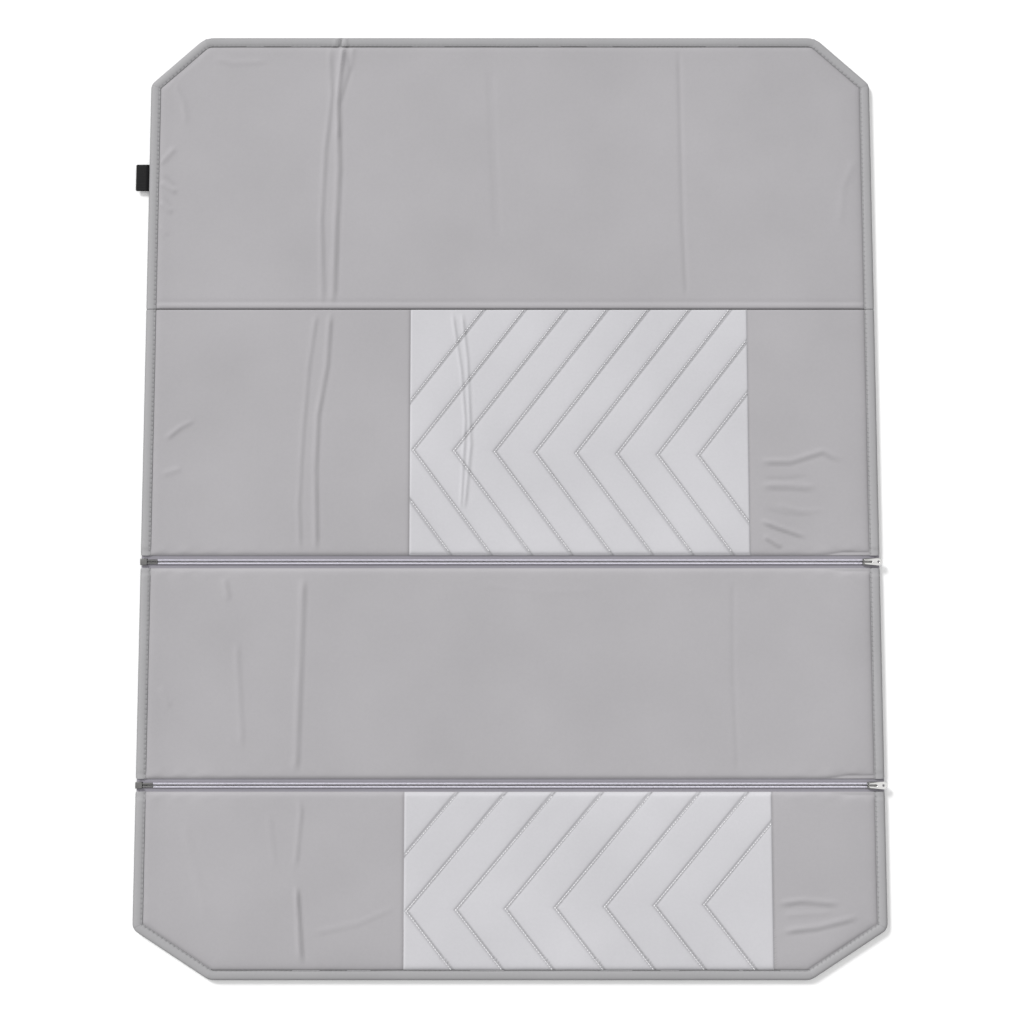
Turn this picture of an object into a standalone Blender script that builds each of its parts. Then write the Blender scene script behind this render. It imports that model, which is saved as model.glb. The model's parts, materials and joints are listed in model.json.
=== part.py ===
"""Fold-out kneeling pad: four padded panels, one sewn fold seam and two open-end zips.

X runs across the pad and Y along it, from the narrow-cornered end panel 4 up to panel 1.
The pad lies flat with its underside on Z = 0 and its working face up.
"""

import math

import bmesh
import bpy
from mathutils import Vector

# ---- The pad as a whole (metres) ----
PAD_WIDTH = 0.700
PANEL_1_LENGTH = 0.270
PANEL_2_LENGTH = 0.243
PANEL_3_LENGTH = 0.209
PANEL_4_LENGTH = 0.178
PAD_THICKNESS = 0.006

# ---- Cut-off corners: size across and along the pad, and their two roundings ----
END_1_CHAMFER = (0.052, 0.047)
END_4_CHAMFER = (0.072, 0.046)
END_1_ROUNDING = 0.022
END_4_ROUNDING = 0.016
SIDE_ROUNDING = 0.009
ARC_STEPS = 6
SHARP_ANGLE = math.radians(40)

# ---- Layers ----
COVER_THICKNESS = 0.0005
LAYER_GAP = 0.0003
SHOULDER_DROP = 0.0008
CROWN_DROP = 0.0002

# ---- Widths of the flat flange and of each step up to full thickness, from each kind of edge ----
BINDING_WIDTH = 0.0095
BINDING_WALL = 0.00045
BINDING_EDGE_WALL = 0.0010
BINDING_CROWN = 0.0007
BINDING_GAP = 0.0002
BINDING_LIP_DROP = 0.0001
BINDING_PINCH_FLAT = 0.0042
BINDING_PINCH_RISE = 0.0045
ZIP_FLANGE = 0.0034
SEAM_FLANGE = 0.0006
BOUND_STEPS = (0.0015, 0.0040, 0.0080)
ZIP_STEPS = (0.0016, 0.0036, 0.0066)
SEAM_STEPS = (0.0008, 0.0020, 0.0044)
FOAM_SETBACK = 0.0012

# ---- Fold seam ----
SEAM_GAP = 0.0006
SEAM_AXIS_RISE = 0.0011

# ---- Quilted inserts: left and right seam, measured from the pad's middle ----
INSERT_1_SPAN = (-0.096, 0.228)
INSERT_2_SPAN = (-0.099, 0.2445)
WADDING_THICKNESS = 0.0012
WADDING_MARGIN = 0.0030

# ---- Zips ----
FOLD_LINE_SPACING = 0.0110
FOLD_SETBACK = 0.0004
TAPE_THICKNESS = 0.0005
TAPE_OVERLAP = 0.0052
TAPE_END_MARGIN = 0.0010
CHAIN_SLIT_HALF = 0.00055
ROW_WIDTH = 0.0016
ROW_HEIGHT = 0.0013
ZIP_GAP = 0.00025
STOP_LENGTH = 0.0020
PIN_LENGTH = 0.0130
BOX_LENGTH = 0.0063
BOX_WALL = 0.0004
BOX_SIDE_WALL = 0.0006

# ---- Sliders ----
SLIDER_PLATE = 0.00055
SLIDER_LIP = 0.0008
SLIDER_NOSE_INSET = 0.0007
SLIDER_NOSE_LENGTH = 0.0035
SLIDER_WEB_HALF = 0.00025
SLIDER_FRONT = 0.0020
SLIDER_REAR = 0.0080
BRIDGE_HALF_WIDTH = 0.0006
BRIDGE_OPENING = 0.0013
BRIDGE_THICKNESS = 0.0005
BRIDGE_LEG = 0.0010
BRIDGE_REACH = 0.0062

# ---- Pull tabs ----
PULL_THICKNESS = 0.0007
PULL_BAR = 0.0007
PULL_NARROW_HALF = 0.0023
PULL_END_RADIUS = 0.0036
PULL_REACH = 0.0166
PULL_WINDOW_LENGTH = 0.0070
PULL_WINDOW_CLEARANCE = 0.00035
PULL_HOLE_RADIUS = 0.0011
PULL_OVERHANG = 0.0020
PULL_END_STEPS = 14
PULL_HOLE_STEPS = 12

# ---- Side tab ----
TAB_FROM_END = 0.127
TAB_WIDTH = 0.026
TAB_LENGTH = 0.013
TAB_LAYER = 0.0006

# ---- Worked out from the sizes above ----
HALF_WIDTH = PAD_WIDTH / 2
MID_HEIGHT = PAD_THICKNESS / 2
PAD_LENGTH = PANEL_1_LENGTH + PANEL_2_LENGTH + PANEL_3_LENGTH + PANEL_4_LENGTH
TOP_Y = PAD_LENGTH / 2
SEAM_Y = TOP_Y - PANEL_1_LENGTH
ZIP_1_Y = SEAM_Y - PANEL_2_LENGTH
ZIP_2_Y = ZIP_1_Y - PANEL_3_LENGTH
BOTTOM_Y = ZIP_2_Y - PANEL_4_LENGTH
EDGE_FROM_ZIP = FOLD_LINE_SPACING / 2 + FOLD_SETBACK
SEAM_AXIS_Z = PAD_THICKNESS + SEAM_AXIS_RISE

TAPE_HALF = TAPE_THICKNESS / 2
FLANGE_HALF = TAPE_HALF + LAYER_GAP + COVER_THICKNESS
ROW_BOTTOM = TAPE_HALF + ZIP_GAP
ROW_TOP = ROW_BOTTOM + ROW_HEIGHT
ROW_OUTER = CHAIN_SLIT_HALF + ROW_WIDTH
PLATE_BOTTOM = ROW_TOP + ZIP_GAP
PLATE_TOP = PLATE_BOTTOM + SLIDER_PLATE
SLIDER_HALF_WIDTH = ROW_OUTER + ZIP_GAP + SLIDER_LIP
BAR_CENTRE = PLATE_TOP + BRIDGE_OPENING / 2
BAR_X = HALF_WIDTH + PULL_OVERHANG - PULL_REACH
ROW_RIGHT_X = BAR_X + SLIDER_REAR
BOX_RIGHT_X = -HALF_WIDTH + BOX_LENGTH
ROW_LEFT_X = BOX_RIGHT_X + PIN_LENGTH - BOX_LENGTH / 2


class Panel:
    """One padded panel: its two cross edges, each bound, zip or seam, and its cut-off corners."""

    def __init__(self, name, low_y, high_y, low_kind, high_kind, chamfer=None, rounding=0.0):
        self.name = name
        self.low_y = low_y
        self.high_y = high_y
        self.low_kind = low_kind
        self.high_kind = high_kind
        self.chamfer = chamfer
        self.rounding = rounding

    def corners(self):
        """Corner points anticlockwise, each with its rounding and the kind of edge that leaves it."""
        w = HALF_WIDTH
        if self.high_kind == "bound":
            cx, cy = self.chamfer
            return [
                (-w, self.low_y, 0.0, self.low_kind),
                (w, self.low_y, 0.0, "bound"),
                (w, self.high_y - cy, SIDE_ROUNDING, "bound"),
                (w - cx, self.high_y, self.rounding, "bound"),
                (-w + cx, self.high_y, self.rounding, "bound"),
                (-w, self.high_y - cy, SIDE_ROUNDING, "bound"),
            ]
        if self.low_kind == "bound":
            cx, cy = self.chamfer
            return [
                (w, self.high_y, 0.0, self.high_kind),
                (-w, self.high_y, 0.0, "bound"),
                (-w, self.low_y + cy, SIDE_ROUNDING, "bound"),
                (-w + cx, self.low_y, self.rounding, "bound"),
                (w - cx, self.low_y, self.rounding, "bound"),
                (w, self.low_y + cy, SIDE_ROUNDING, "bound"),
            ]
        return [
            (-w, self.low_y, 0.0, self.low_kind),
            (w, self.low_y, 0.0, "bound"),
            (w, self.high_y, 0.0, self.high_kind),
            (-w, self.high_y, 0.0, "bound"),
        ]


PANEL_1 = Panel(
    "panel_1", SEAM_Y + SEAM_GAP / 2, TOP_Y, "seam", "bound", END_1_CHAMFER, END_1_ROUNDING
)
PANEL_2 = Panel("panel_2", ZIP_1_Y + EDGE_FROM_ZIP, SEAM_Y - SEAM_GAP / 2, "zip", "seam")
PANEL_3 = Panel("panel_3", ZIP_2_Y + EDGE_FROM_ZIP, ZIP_1_Y - EDGE_FROM_ZIP, "zip", "zip")
PANEL_4 = Panel(
    "panel_4", BOTTOM_Y, ZIP_2_Y - EDGE_FROM_ZIP, "bound", "zip", END_4_CHAMFER, END_4_ROUNDING
)


def outline(panel, insets):
    """The panel's outline as (x, y) points, moved in from each kind of edge by its inset."""
    corners = panel.corners()
    points = []
    for index, (x, y, radius, kind) in enumerate(corners):
        before = corners[index - 1]
        after = corners[(index + 1) % len(corners)]
        into = Vector((x - before[0], y - before[1])).normalized()
        out = Vector((after[0] - x, after[1] - y)).normalized()
        into_normal = Vector((-into.y, into.x))
        inset_in = insets[before[3]]
        inset_out = insets[kind]
        turn = math.atan2(into.x * out.y - into.y * out.x, into.dot(out))
        along = (inset_out - inset_in * math.cos(turn)) / math.sin(turn)
        corner = Vector((x, y)) + into_normal * inset_in - into * along
        if radius == 0.0:
            points.append((corner.x, corner.y))
            continue
        arc = max(radius - inset_out, 0.001)
        start = corner - into * arc * math.tan(turn / 2)
        centre = start + into_normal * arc
        first = math.atan2(-into_normal.y, -into_normal.x)
        for step in range(ARC_STEPS + 1):
            angle = first + turn * step / ARC_STEPS
            points.append((centre.x + arc * math.cos(angle), centre.y + arc * math.sin(angle)))
    return points


def ring_insets(level, extra=0.0):
    """How far in from each kind of edge a cover's ring lies: 0 is its rim, 4 its flat field."""
    if level == 0:
        bound, zipped, seam = BINDING_EDGE_WALL + LAYER_GAP, 0.0, 0.0
    else:
        steps = level - 2
        bound = BINDING_WIDTH + LAYER_GAP + (BOUND_STEPS[steps] if steps >= 0 else 0.0)
        zipped = ZIP_FLANGE + (ZIP_STEPS[steps] if steps >= 0 else 0.0)
        seam = SEAM_FLANGE + (SEAM_STEPS[steps] if steps >= 0 else 0.0)
    return {"bound": bound + extra, "zip": zipped + extra, "seam": seam + extra}


RING_HEIGHTS = (
    FLANGE_HALF,
    FLANGE_HALF,
    MID_HEIGHT - SHOULDER_DROP,
    MID_HEIGHT - CROWN_DROP,
    MID_HEIGHT,
)


# ---- Scene and material helpers ----


def clear_scene():
    """Remove every object that is in the scene already."""
    for item in list(bpy.data.objects):
        bpy.data.objects.remove(item, do_unlink=True)


def make_material(name, colour, roughness, metallic):
    """A plain Principled material."""
    material = bpy.data.materials.new(name)
    material.use_nodes = True
    shader = material.node_tree.nodes["Principled BSDF"]
    shader.inputs["Base Color"].default_value = (*colour, 1.0)
    shader.inputs["Roughness"].default_value = roughness
    shader.inputs["Metallic"].default_value = metallic
    material.diffuse_color = (*colour, 1.0)
    return material


FINISHES = {
    "grey_cover": ((0.44, 0.43, 0.45), 0.55, 0.0),
    "grey_binding": ((0.42, 0.42, 0.425), 0.55, 0.0),
    "light_insert": ((0.63, 0.62, 0.65), 0.45, 0.0),
    "pad_foam": ((0.80, 0.80, 0.78), 0.90, 0.0),
    "zip_tape": ((0.24, 0.23, 0.25), 0.80, 0.0),
    "zip_coil": ((0.48, 0.47, 0.54), 0.40, 0.0),
    "zip_metal": ((0.80, 0.80, 0.80), 0.25, 1.0),
    "side_tab": ((0.022, 0.022, 0.022), 0.85, 0.0),
}


def add_object(name, bm, finish, parent, origin=(0.0, 0.0, 0.0)):
    """A named object from a bmesh in world places, its origin moved to the given point."""
    offset = Vector(origin)
    bmesh.ops.translate(bm, vec=-offset, verts=bm.verts)
    bmesh.ops.recalc_face_normals(bm, faces=bm.faces)
    mesh = bpy.data.meshes.new(name)
    bm.to_mesh(mesh)
    bm.free()
    mesh.shade_smooth()
    mesh.set_sharp_from_angle(angle=SHARP_ANGLE)
    item = bpy.data.objects.new(name, mesh)
    bpy.context.scene.collection.objects.link(item)
    mesh.materials.append(make_material(name + "_" + finish, *FINISHES[finish]))
    place(item, offset, parent)
    return item


def add_axis(name, point, parent=None):
    """An empty on a joint's axis, which the moving pieces are parented to."""
    item = bpy.data.objects.new(name, None)
    item.empty_display_size = 0.01
    bpy.context.scene.collection.objects.link(item)
    place(item, Vector(point), parent)
    return item


def place(item, point, parent):
    """Parent an object and put it at a point given in world places."""
    item.parent = parent
    item.location = point - (world_point(parent) if parent else Vector((0.0, 0.0, 0.0)))


def world_point(item):
    """Where an unturned object stands in the world."""
    point = Vector(item.location)
    while item.parent:
        item = item.parent
        point += item.location
    return point


def hide_cutter(item):
    """Keep a tool object out of the model."""
    item.hide_render = True
    item.display_type = "WIRE"


def cut_or_join(item, tool, operation):
    """A live Boolean of one object with a tool object."""
    modifier = item.modifiers.new(operation.lower(), "BOOLEAN")
    modifier.operation = operation
    modifier.object = tool
    modifier.solver = "EXACT"
    hide_cutter(tool)


# ---- Mesh helpers ----


def loft(rings):
    """A bmesh through rings of points, each with the same count, capped at both ends."""
    bm = bmesh.new()
    loops = [[bm.verts.new(point) for point in ring] for ring in rings]
    count = len(loops[0])
    for lower, upper in zip(loops, loops[1:]):
        for index in range(count):
            after = (index + 1) % count
            bm.faces.new((lower[index], lower[after], upper[after], upper[index]))
    bm.faces.new(reversed(loops[0]))
    bm.faces.new(loops[-1])
    return bm


def box(low, high):
    """A block between two corners."""
    x0, y0, z0 = low
    x1, y1, z1 = high
    plan = [(x0, y0), (x1, y0), (x1, y1), (x0, y1)]
    return loft([[(x, y, z) for x, y in plan] for z in (z0, z1)])


def bar_along_x(section, start, end):
    """A bar between two places on X, from (y, z) points."""
    return loft([[(x, y, z) for y, z in section] for x in (start, end)])


def chamfered_section(y0, y1, z0, z1, cut):
    """An eight-sided section, a rectangle with its corners cut off."""
    return [
        (y0 + cut, z0),
        (y1 - cut, z0),
        (y1, z0 + cut),
        (y1, z1 - cut),
        (y1 - cut, z1),
        (y0 + cut, z1),
        (y0, z1 - cut),
        (y0, z0 + cut),
    ]


def keep_between(bm, low_x, high_x):
    """Cut a body across at two places on X and close the cuts."""
    for place_x, side in ((low_x, -1.0), (high_x, 1.0)):
        if place_x is None:
            continue
        cut = bmesh.ops.bisect_plane(
            bm,
            geom=bm.verts[:] + bm.edges[:] + bm.faces[:],
            dist=1e-7,
            plane_co=(place_x, 0.0, 0.0),
            plane_no=(side, 0.0, 0.0),
            clear_outer=True,
        )
        edges = [part for part in cut["geom_cut"] if isinstance(part, bmesh.types.BMEdge)]
        bmesh.ops.contextual_create(bm, geom=edges)


# ---- Panel pieces ----


def cover_mesh(panel, side):
    """A cover: flat flange, step and field, with its rim open to the inside. side is 1 or -1."""
    outer = []
    inner = []
    for level, height in enumerate(RING_HEIGHTS):
        plan = outline(panel, ring_insets(level))
        outside = MID_HEIGHT + side * height
        inside = MID_HEIGHT + side * (height - COVER_THICKNESS)
        outer.append([(x, y, outside) for x, y in plan])
        inner.append([(x, y, inside) for x, y in plan])
    return loft(list(reversed(inner)) + outer)


def foam_mesh(panel):
    """The foam sheet, a layer gap inside both covers and clear of the flanges."""
    upper = []
    lower = []
    for level in range(2, len(RING_HEIGHTS)):
        plan = outline(panel, ring_insets(level, FOAM_SETBACK))
        half = RING_HEIGHTS[level] - COVER_THICKNESS - LAYER_GAP
        upper.append([(x, y, MID_HEIGHT + half) for x, y in plan])
        lower.append([(x, y, MID_HEIGHT - half) for x, y in plan])
    return loft(list(reversed(lower)) + upper)


def binding_section(pinch):
    """(inset, height over the middle) points of the folded tape, round outside and slotted inside."""
    slot = FLANGE_HALF + BINDING_GAP
    wall = slot + BINDING_WALL
    crown = wall + BINDING_CROWN * pinch
    upper = [
        (0.0, 0.0),
        (0.0004, 0.55 * crown),
        (0.0014, 0.86 * crown),
        (0.0034, crown),
        (0.0064, crown),
        (0.0086, 0.45 * crown + 0.55 * wall),
        (BINDING_WIDTH, wall - BINDING_LIP_DROP),
        (BINDING_WIDTH, slot),
        (BINDING_EDGE_WALL, slot),
    ]
    return upper + [(inset, -height) for inset, height in reversed(upper[1:])]


def binding_mesh(panel, run):
    """The edge binding along a run of the outline, pinched where it meets a zip."""
    stations = []
    for pinch, plan_of in run:
        section = binding_section(pinch)
        ring = []
        for inset, height in section:
            x, y = plan_of(inset)
            ring.append((x, y, MID_HEIGHT + height))
        stations.append(ring)
    return loft(stations)


def side_stations(side, end_y, inward, kind):
    """Stations near one end of a straight side: at its end and where the pinch starts and stops."""
    places = (0.0, BINDING_PINCH_FLAT, BINDING_PINCH_FLAT + BINDING_PINCH_RISE)
    stations = []
    for index, place_y in enumerate(places):
        pinch = 0.0 if kind == "zip" and index < 2 else 1.0
        y = end_y + inward * place_y
        stations.append((pinch, lambda inset, y=y: (side * (HALF_WIDTH - inset), y)))
    return stations


def straight_binding(panel, side):
    """The binding along one side of a middle panel."""
    run = side_stations(side, panel.low_y, 1, panel.low_kind)
    run += list(reversed(side_stations(side, panel.high_y, -1, panel.high_kind)))
    return binding_mesh(panel, run)


def end_binding(panel):
    """The binding of an end panel: up one side, round both cut-off corners and down the other."""
    kind = panel.low_kind if panel.high_kind == "bound" else panel.high_kind
    plain_y = panel.low_y if panel.high_kind == "bound" else panel.high_y
    inward = 1 if panel.high_kind == "bound" else -1
    first_side = 1 if panel.high_kind == "bound" else -1
    run = side_stations(first_side, plain_y, inward, kind)
    last = len(outline(panel, ring_insets(0)))
    for index in range(2, last):
        run.append((1.0, lambda inset, index=index: bound_point(panel, inset, index)))
    run += list(reversed(side_stations(-first_side, plain_y, inward, kind)))
    return binding_mesh(panel, run)


def bound_point(panel, inset, index):
    """The outline's point of that number, moved in from the bound edges only."""
    insets = {"bound": inset, "zip": 0.0, "seam": 0.0}
    return outline(panel, insets)[index]


def add_panel(panel, parent, insert_span=None):
    """A panel's covers, foam and, where it has one, its quilted insert and wadding."""
    origin = (0.0, (panel.low_y + panel.high_y) / 2, MID_HEIGHT)
    name = panel.name
    if insert_span is None:
        add_object(name + "_top_cover", cover_mesh(panel, 1), "grey_cover", parent, origin)
    else:
        left, right = insert_span
        half = LAYER_GAP / 2
        pieces = (
            ("_top_cover_left", None, left - half, "grey_cover"),
            ("_quilted_insert", left + half, right - half, "light_insert"),
            ("_top_cover_right", right + half, None, "grey_cover"),
        )
        for suffix, low_x, high_x, finish in pieces:
            bm = cover_mesh(panel, 1)
            keep_between(bm, low_x, high_x)
            add_object(name + suffix, bm, finish, parent, origin)
    add_object(name + "_base_cover", cover_mesh(panel, -1), "grey_cover", parent, origin)
    foam = add_object(name + "_foam_core", foam_mesh(panel), "pad_foam", parent, origin)
    if insert_span is not None:
        add_wadding(panel, insert_span, foam, parent, origin)


def add_wadding(panel, insert_span, foam, parent, origin):
    """The soft layer under a quilted insert, in a recess in the foam."""
    field = outline(panel, ring_insets(len(RING_HEIGHTS) - 1, FOAM_SETBACK + WADDING_MARGIN))
    low_y = min(y for x, y in field)
    high_y = max(y for x, y in field)
    left, right = insert_span
    top = MID_HEIGHT + RING_HEIGHTS[-1] - COVER_THICKNESS - LAYER_GAP
    bottom = top - WADDING_THICKNESS
    low = (left + WADDING_MARGIN, low_y, bottom)
    high = (right - WADDING_MARGIN, high_y, top)
    add_object(panel.name + "_wadding", box(low, high), "pad_foam", parent, origin)
    cut_low = [value - LAYER_GAP for value in low]
    cut_high = [value + LAYER_GAP for value in high[:2]] + [top + 0.001]
    cutter = add_object(panel.name + "_wadding_recess", box(cut_low, cut_high), "pad_foam", parent)
    cut_or_join(foam, cutter, "DIFFERENCE")


def add_side_tab(parent):
    """The blank folded tab at the left edge of panel 1: one tape turned back on itself."""
    inner = -HALF_WIDTH - LAYER_GAP
    outer = -HALF_WIDTH - TAB_LENGTH
    half = LAYER_GAP / 2 + TAB_LAYER
    slit = LAYER_GAP / 2
    section = [
        (inner, half),
        (outer + TAB_LAYER, half),
        (outer, half - TAB_LAYER / 2),
        (outer, -half + TAB_LAYER / 2),
        (outer + TAB_LAYER, -half),
        (inner, -half),
        (inner, -slit),
        (outer + TAB_LAYER, -slit),
        (outer + TAB_LAYER, slit),
        (inner, slit),
    ]
    high_y = TOP_Y - TAB_FROM_END
    rings = [
        [(x, y, MID_HEIGHT + z) for x, z in section] for y in (high_y - TAB_WIDTH, high_y)
    ]
    origin = (inner, high_y - TAB_WIDTH / 2, MID_HEIGHT)
    add_object("panel_1_side_tab", loft(rings), "side_tab", parent, origin)


# ---- Zip pieces ----


def add_tape_hem(name, zip_y, side, parent):
    """The part of a zip tape that is sewn in between a panel's covers."""
    start = zip_y + side * EDGE_FROM_ZIP
    end = start + side * TAPE_OVERLAP
    reach = HALF_WIDTH - BINDING_EDGE_WALL - LAYER_GAP
    low = (-reach, min(start, end), MID_HEIGHT - TAPE_HALF)
    high = (reach, max(start, end), MID_HEIGHT + TAPE_HALF)
    add_object(name, box(low, high), "zip_tape", parent, (0.0, start, MID_HEIGHT))


def row_section(zip_y, side):
    """The section of one row of the chain, or of a pin or stop on it."""
    edges = sorted((zip_y + side * CHAIN_SLIT_HALF, zip_y + side * ROW_OUTER))
    low = MID_HEIGHT + ROW_BOTTOM
    high = MID_HEIGHT + ROW_TOP
    return chamfered_section(edges[0], edges[1], low, high, ROW_WIDTH / 4)


def add_zip_strip(name, zip_y, parent):
    """Both tapes, both rows of coil, the pins, the box and the top stops of one zip."""
    origin = (0.0, zip_y, MID_HEIGHT)
    tape_edge = FOLD_LINE_SPACING / 2 - FOLD_SETBACK
    tape_end = HALF_WIDTH - TAPE_END_MARGIN
    pieces = (("rear", 1, "insertion_pin"), ("front", -1, "retainer_pin"))
    for label, side, pin in pieces:
        edges = sorted((zip_y + side * CHAIN_SLIT_HALF, zip_y + side * tape_edge))
        low = (BOX_RIGHT_X + LAYER_GAP, edges[0], MID_HEIGHT - TAPE_HALF)
        high = (tape_end, edges[1], MID_HEIGHT + TAPE_HALF)
        add_object(name + "_" + label + "_tape", box(low, high), "zip_tape", parent, origin)
        coil = bar_along_x(row_section(zip_y, side), ROW_LEFT_X + LAYER_GAP, ROW_RIGHT_X)
        add_object(name + "_" + label + "_coil", coil, "zip_coil", parent, origin)
        pin_mesh = bar_along_x(row_section(zip_y, side), ROW_LEFT_X - PIN_LENGTH, ROW_LEFT_X)
        add_object(name + "_" + pin, pin_mesh, "zip_metal", parent, origin)
        add_top_stop(name + "_" + label + "_top_stop", zip_y, side, parent, origin)
    add_retainer_box(name, zip_y, parent, origin)


def add_top_stop(name, zip_y, side, parent, origin):
    """The stop that ends one row of the chain at the right."""
    start = ROW_RIGHT_X + LAYER_GAP
    stop = bar_along_x(row_section(zip_y, side), start, start + STOP_LENGTH)
    add_object(name, stop, "zip_metal", parent, origin)


def add_retainer_box(name, zip_y, parent, origin):
    """The box that both pins stand in, open towards the chain."""
    half = ROW_OUTER + ZIP_GAP + BOX_SIDE_WALL
    top = ROW_TOP + ZIP_GAP + BOX_WALL
    section = chamfered_section(
        zip_y - half,
        zip_y + half,
        MID_HEIGHT - PLATE_TOP / 2,
        MID_HEIGHT + top,
        BOX_WALL,
    )
    body = bar_along_x(section, -HALF_WIDTH, BOX_RIGHT_X)
    item = add_object(name + "_retainer_box", body, "zip_metal", parent, origin)
    slot_half = ROW_OUTER + ZIP_GAP
    low = (
        ROW_LEFT_X - PIN_LENGTH - LAYER_GAP,
        zip_y - slot_half,
        MID_HEIGHT + ROW_BOTTOM - ZIP_GAP,
    )
    high = (BOX_RIGHT_X + 0.001, zip_y + slot_half, MID_HEIGHT + ROW_TOP + ZIP_GAP)
    slot = add_object(name + "_box_slot", box(low, high), "zip_metal", parent)
    cut_or_join(item, slot, "DIFFERENCE")


def slider_section(zip_y, narrowing):
    """The slider across the chain: lipped top plate, bottom plate and the web between them."""
    wide = SLIDER_HALF_WIDTH - narrowing
    inner = ROW_OUTER + ZIP_GAP
    lip = TAPE_HALF + ZIP_GAP
    below = -TAPE_HALF - ZIP_GAP
    web = SLIDER_WEB_HALF
    right = [
        (wide, PLATE_TOP - SLIDER_PLATE / 3),
        (wide, lip),
        (inner, lip),
        (inner, PLATE_BOTTOM),
        (web, PLATE_BOTTOM),
        (web, below),
        (wide, below),
        (wide, below - SLIDER_PLATE * 2 / 3),
        (wide - SLIDER_PLATE / 2, below - SLIDER_PLATE),
    ]
    top = [(wide - SLIDER_PLATE / 2, PLATE_TOP)]
    half = top + right
    section = half + [(-y, z) for y, z in reversed(half)]
    return [(zip_y + y, MID_HEIGHT + z) for y, z in section]


def add_slider(name, zip_y, parent, axis_point):
    """Slider body with its bridge, whose opening holds the pull tab's bar."""
    stations = (
        (-SLIDER_FRONT, SLIDER_NOSE_INSET),
        (-SLIDER_FRONT + SLIDER_NOSE_LENGTH, 0.0),
        (SLIDER_REAR - SLIDER_PLATE - ZIP_GAP, 0.0),
        (SLIDER_REAR - ZIP_GAP, SLIDER_PLATE / 2),
    )
    rings = []
    for along, narrowing in stations:
        section = slider_section(zip_y, narrowing)
        rings.append([(BAR_X + along, y, z) for y, z in section])
    body = add_object(name, loft(rings), "zip_metal", parent, axis_point)
    bridge = add_object(name + "_bridge", bridge_mesh(zip_y), "zip_metal", parent, axis_point)
    cut_or_join(body, bridge, "UNION")


def bridge_mesh(zip_y):
    """A low arch along X over the top plate, sunk into it by half the plate."""
    foot = PLATE_TOP - SLIDER_PLATE / 2
    under = PLATE_TOP + BRIDGE_OPENING
    over = under + BRIDGE_THICKNESS
    front = -PULL_BAR / 2 - LAYER_GAP - BRIDGE_LEG
    rear = BRIDGE_REACH
    side = [
        (front, foot),
        (front + BRIDGE_LEG, foot),
        (front + BRIDGE_LEG, under),
        (rear - BRIDGE_LEG, under),
        (rear - BRIDGE_LEG, foot),
        (rear, foot),
        (rear, under),
        (rear - BRIDGE_LEG, over),
        (front + BRIDGE_LEG, over),
        (front, under),
    ]
    rings = []
    for y in (zip_y - BRIDGE_HALF_WIDTH, zip_y + BRIDGE_HALF_WIDTH):
        rings.append([(BAR_X + x, y, MID_HEIGHT + z) for x, z in side])
    return loft(rings)


def pull_outline():
    """The pull's edge: a narrow square end at the bar, widening to a round end."""
    centre = PULL_REACH - PULL_END_RADIUS
    rise = math.asin((PULL_END_RADIUS - PULL_NARROW_HALF) / centre)
    start = -PULL_BAR / 2
    cut = PULL_BAR
    points = [(start, -PULL_NARROW_HALF + cut), (start + cut, -PULL_NARROW_HALF)]
    first = -math.pi / 2 - rise
    sweep = math.pi + 2 * rise
    for step in range(PULL_END_STEPS + 1):
        angle = first + sweep * step / PULL_END_STEPS
        points.append(
            (centre + PULL_END_RADIUS * math.cos(angle), PULL_END_RADIUS * math.sin(angle))
        )
    points += [(start + cut, PULL_NARROW_HALF), (start, PULL_NARROW_HALF - cut)]
    return points


def pull_window():
    """The long window that the bridge stands in."""
    half = BRIDGE_HALF_WIDTH + PULL_WINDOW_CLEARANCE
    start = PULL_BAR / 2
    end = start + PULL_WINDOW_LENGTH
    return [(start, -half), (end - half, -half), (end, 0.0), (end - half, half), (start, half)]


def pull_hole():
    """The round hole in the wide end."""
    centre = PULL_REACH - PULL_END_RADIUS
    points = []
    for step in range(PULL_HOLE_STEPS):
        angle = 2 * math.pi * step / PULL_HOLE_STEPS
        points.append(
            (centre + PULL_HOLE_RADIUS * math.cos(angle), PULL_HOLE_RADIUS * math.sin(angle))
        )
    return points


def add_pull(name, zip_y, parent, axis_point):
    """The flat pull tab, with its origin on the bar that it turns on."""
    bm = bmesh.new()
    low = MID_HEIGHT + BAR_CENTRE - PULL_THICKNESS / 2
    edges = []
    for points in (pull_outline(), pull_window(), pull_hole()):
        verts = [bm.verts.new((BAR_X + x, zip_y + y, low)) for x, y in points]
        for index, vert in enumerate(verts):
            edges.append(bm.edges.new((vert, verts[(index + 1) % len(verts)])))
    bmesh.ops.triangle_fill(bm, edges=edges, use_beauty=True, use_dissolve=False)
    grown = bmesh.ops.extrude_face_region(bm, geom=bm.faces[:], use_keep_orig=True)
    moved = [part for part in grown["geom"] if isinstance(part, bmesh.types.BMVert)]
    bmesh.ops.translate(bm, vec=(0.0, 0.0, PULL_THICKNESS), verts=moved)
    add_object(name, bm, "zip_metal", parent, axis_point)


def add_zip(name, zip_y, upper_panel, lower_panel, rear_axis, front_axis):
    """One whole zip: the hems in both panels, the strip, the slider and the pull tab."""
    add_tape_hem(name + "_rear_tape_hem", zip_y, 1, upper_panel)
    add_tape_hem(name + "_front_tape_hem", zip_y, -1, lower_panel)
    add_zip_strip(name, zip_y, rear_axis)
    slider_point = (BAR_X, zip_y, MID_HEIGHT)
    slider_axis = add_axis(name + "_slider_axis", slider_point, rear_axis)
    add_slider(name + "_slider", zip_y, slider_axis, slider_point)
    bar_point = (BAR_X, zip_y, MID_HEIGHT + BAR_CENTRE)
    pull_axis = add_axis(name + "_pull_axis", bar_point, slider_axis)
    add_pull(name + "_pull_tab", zip_y, pull_axis, bar_point)


# ---- The whole pad ----


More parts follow.
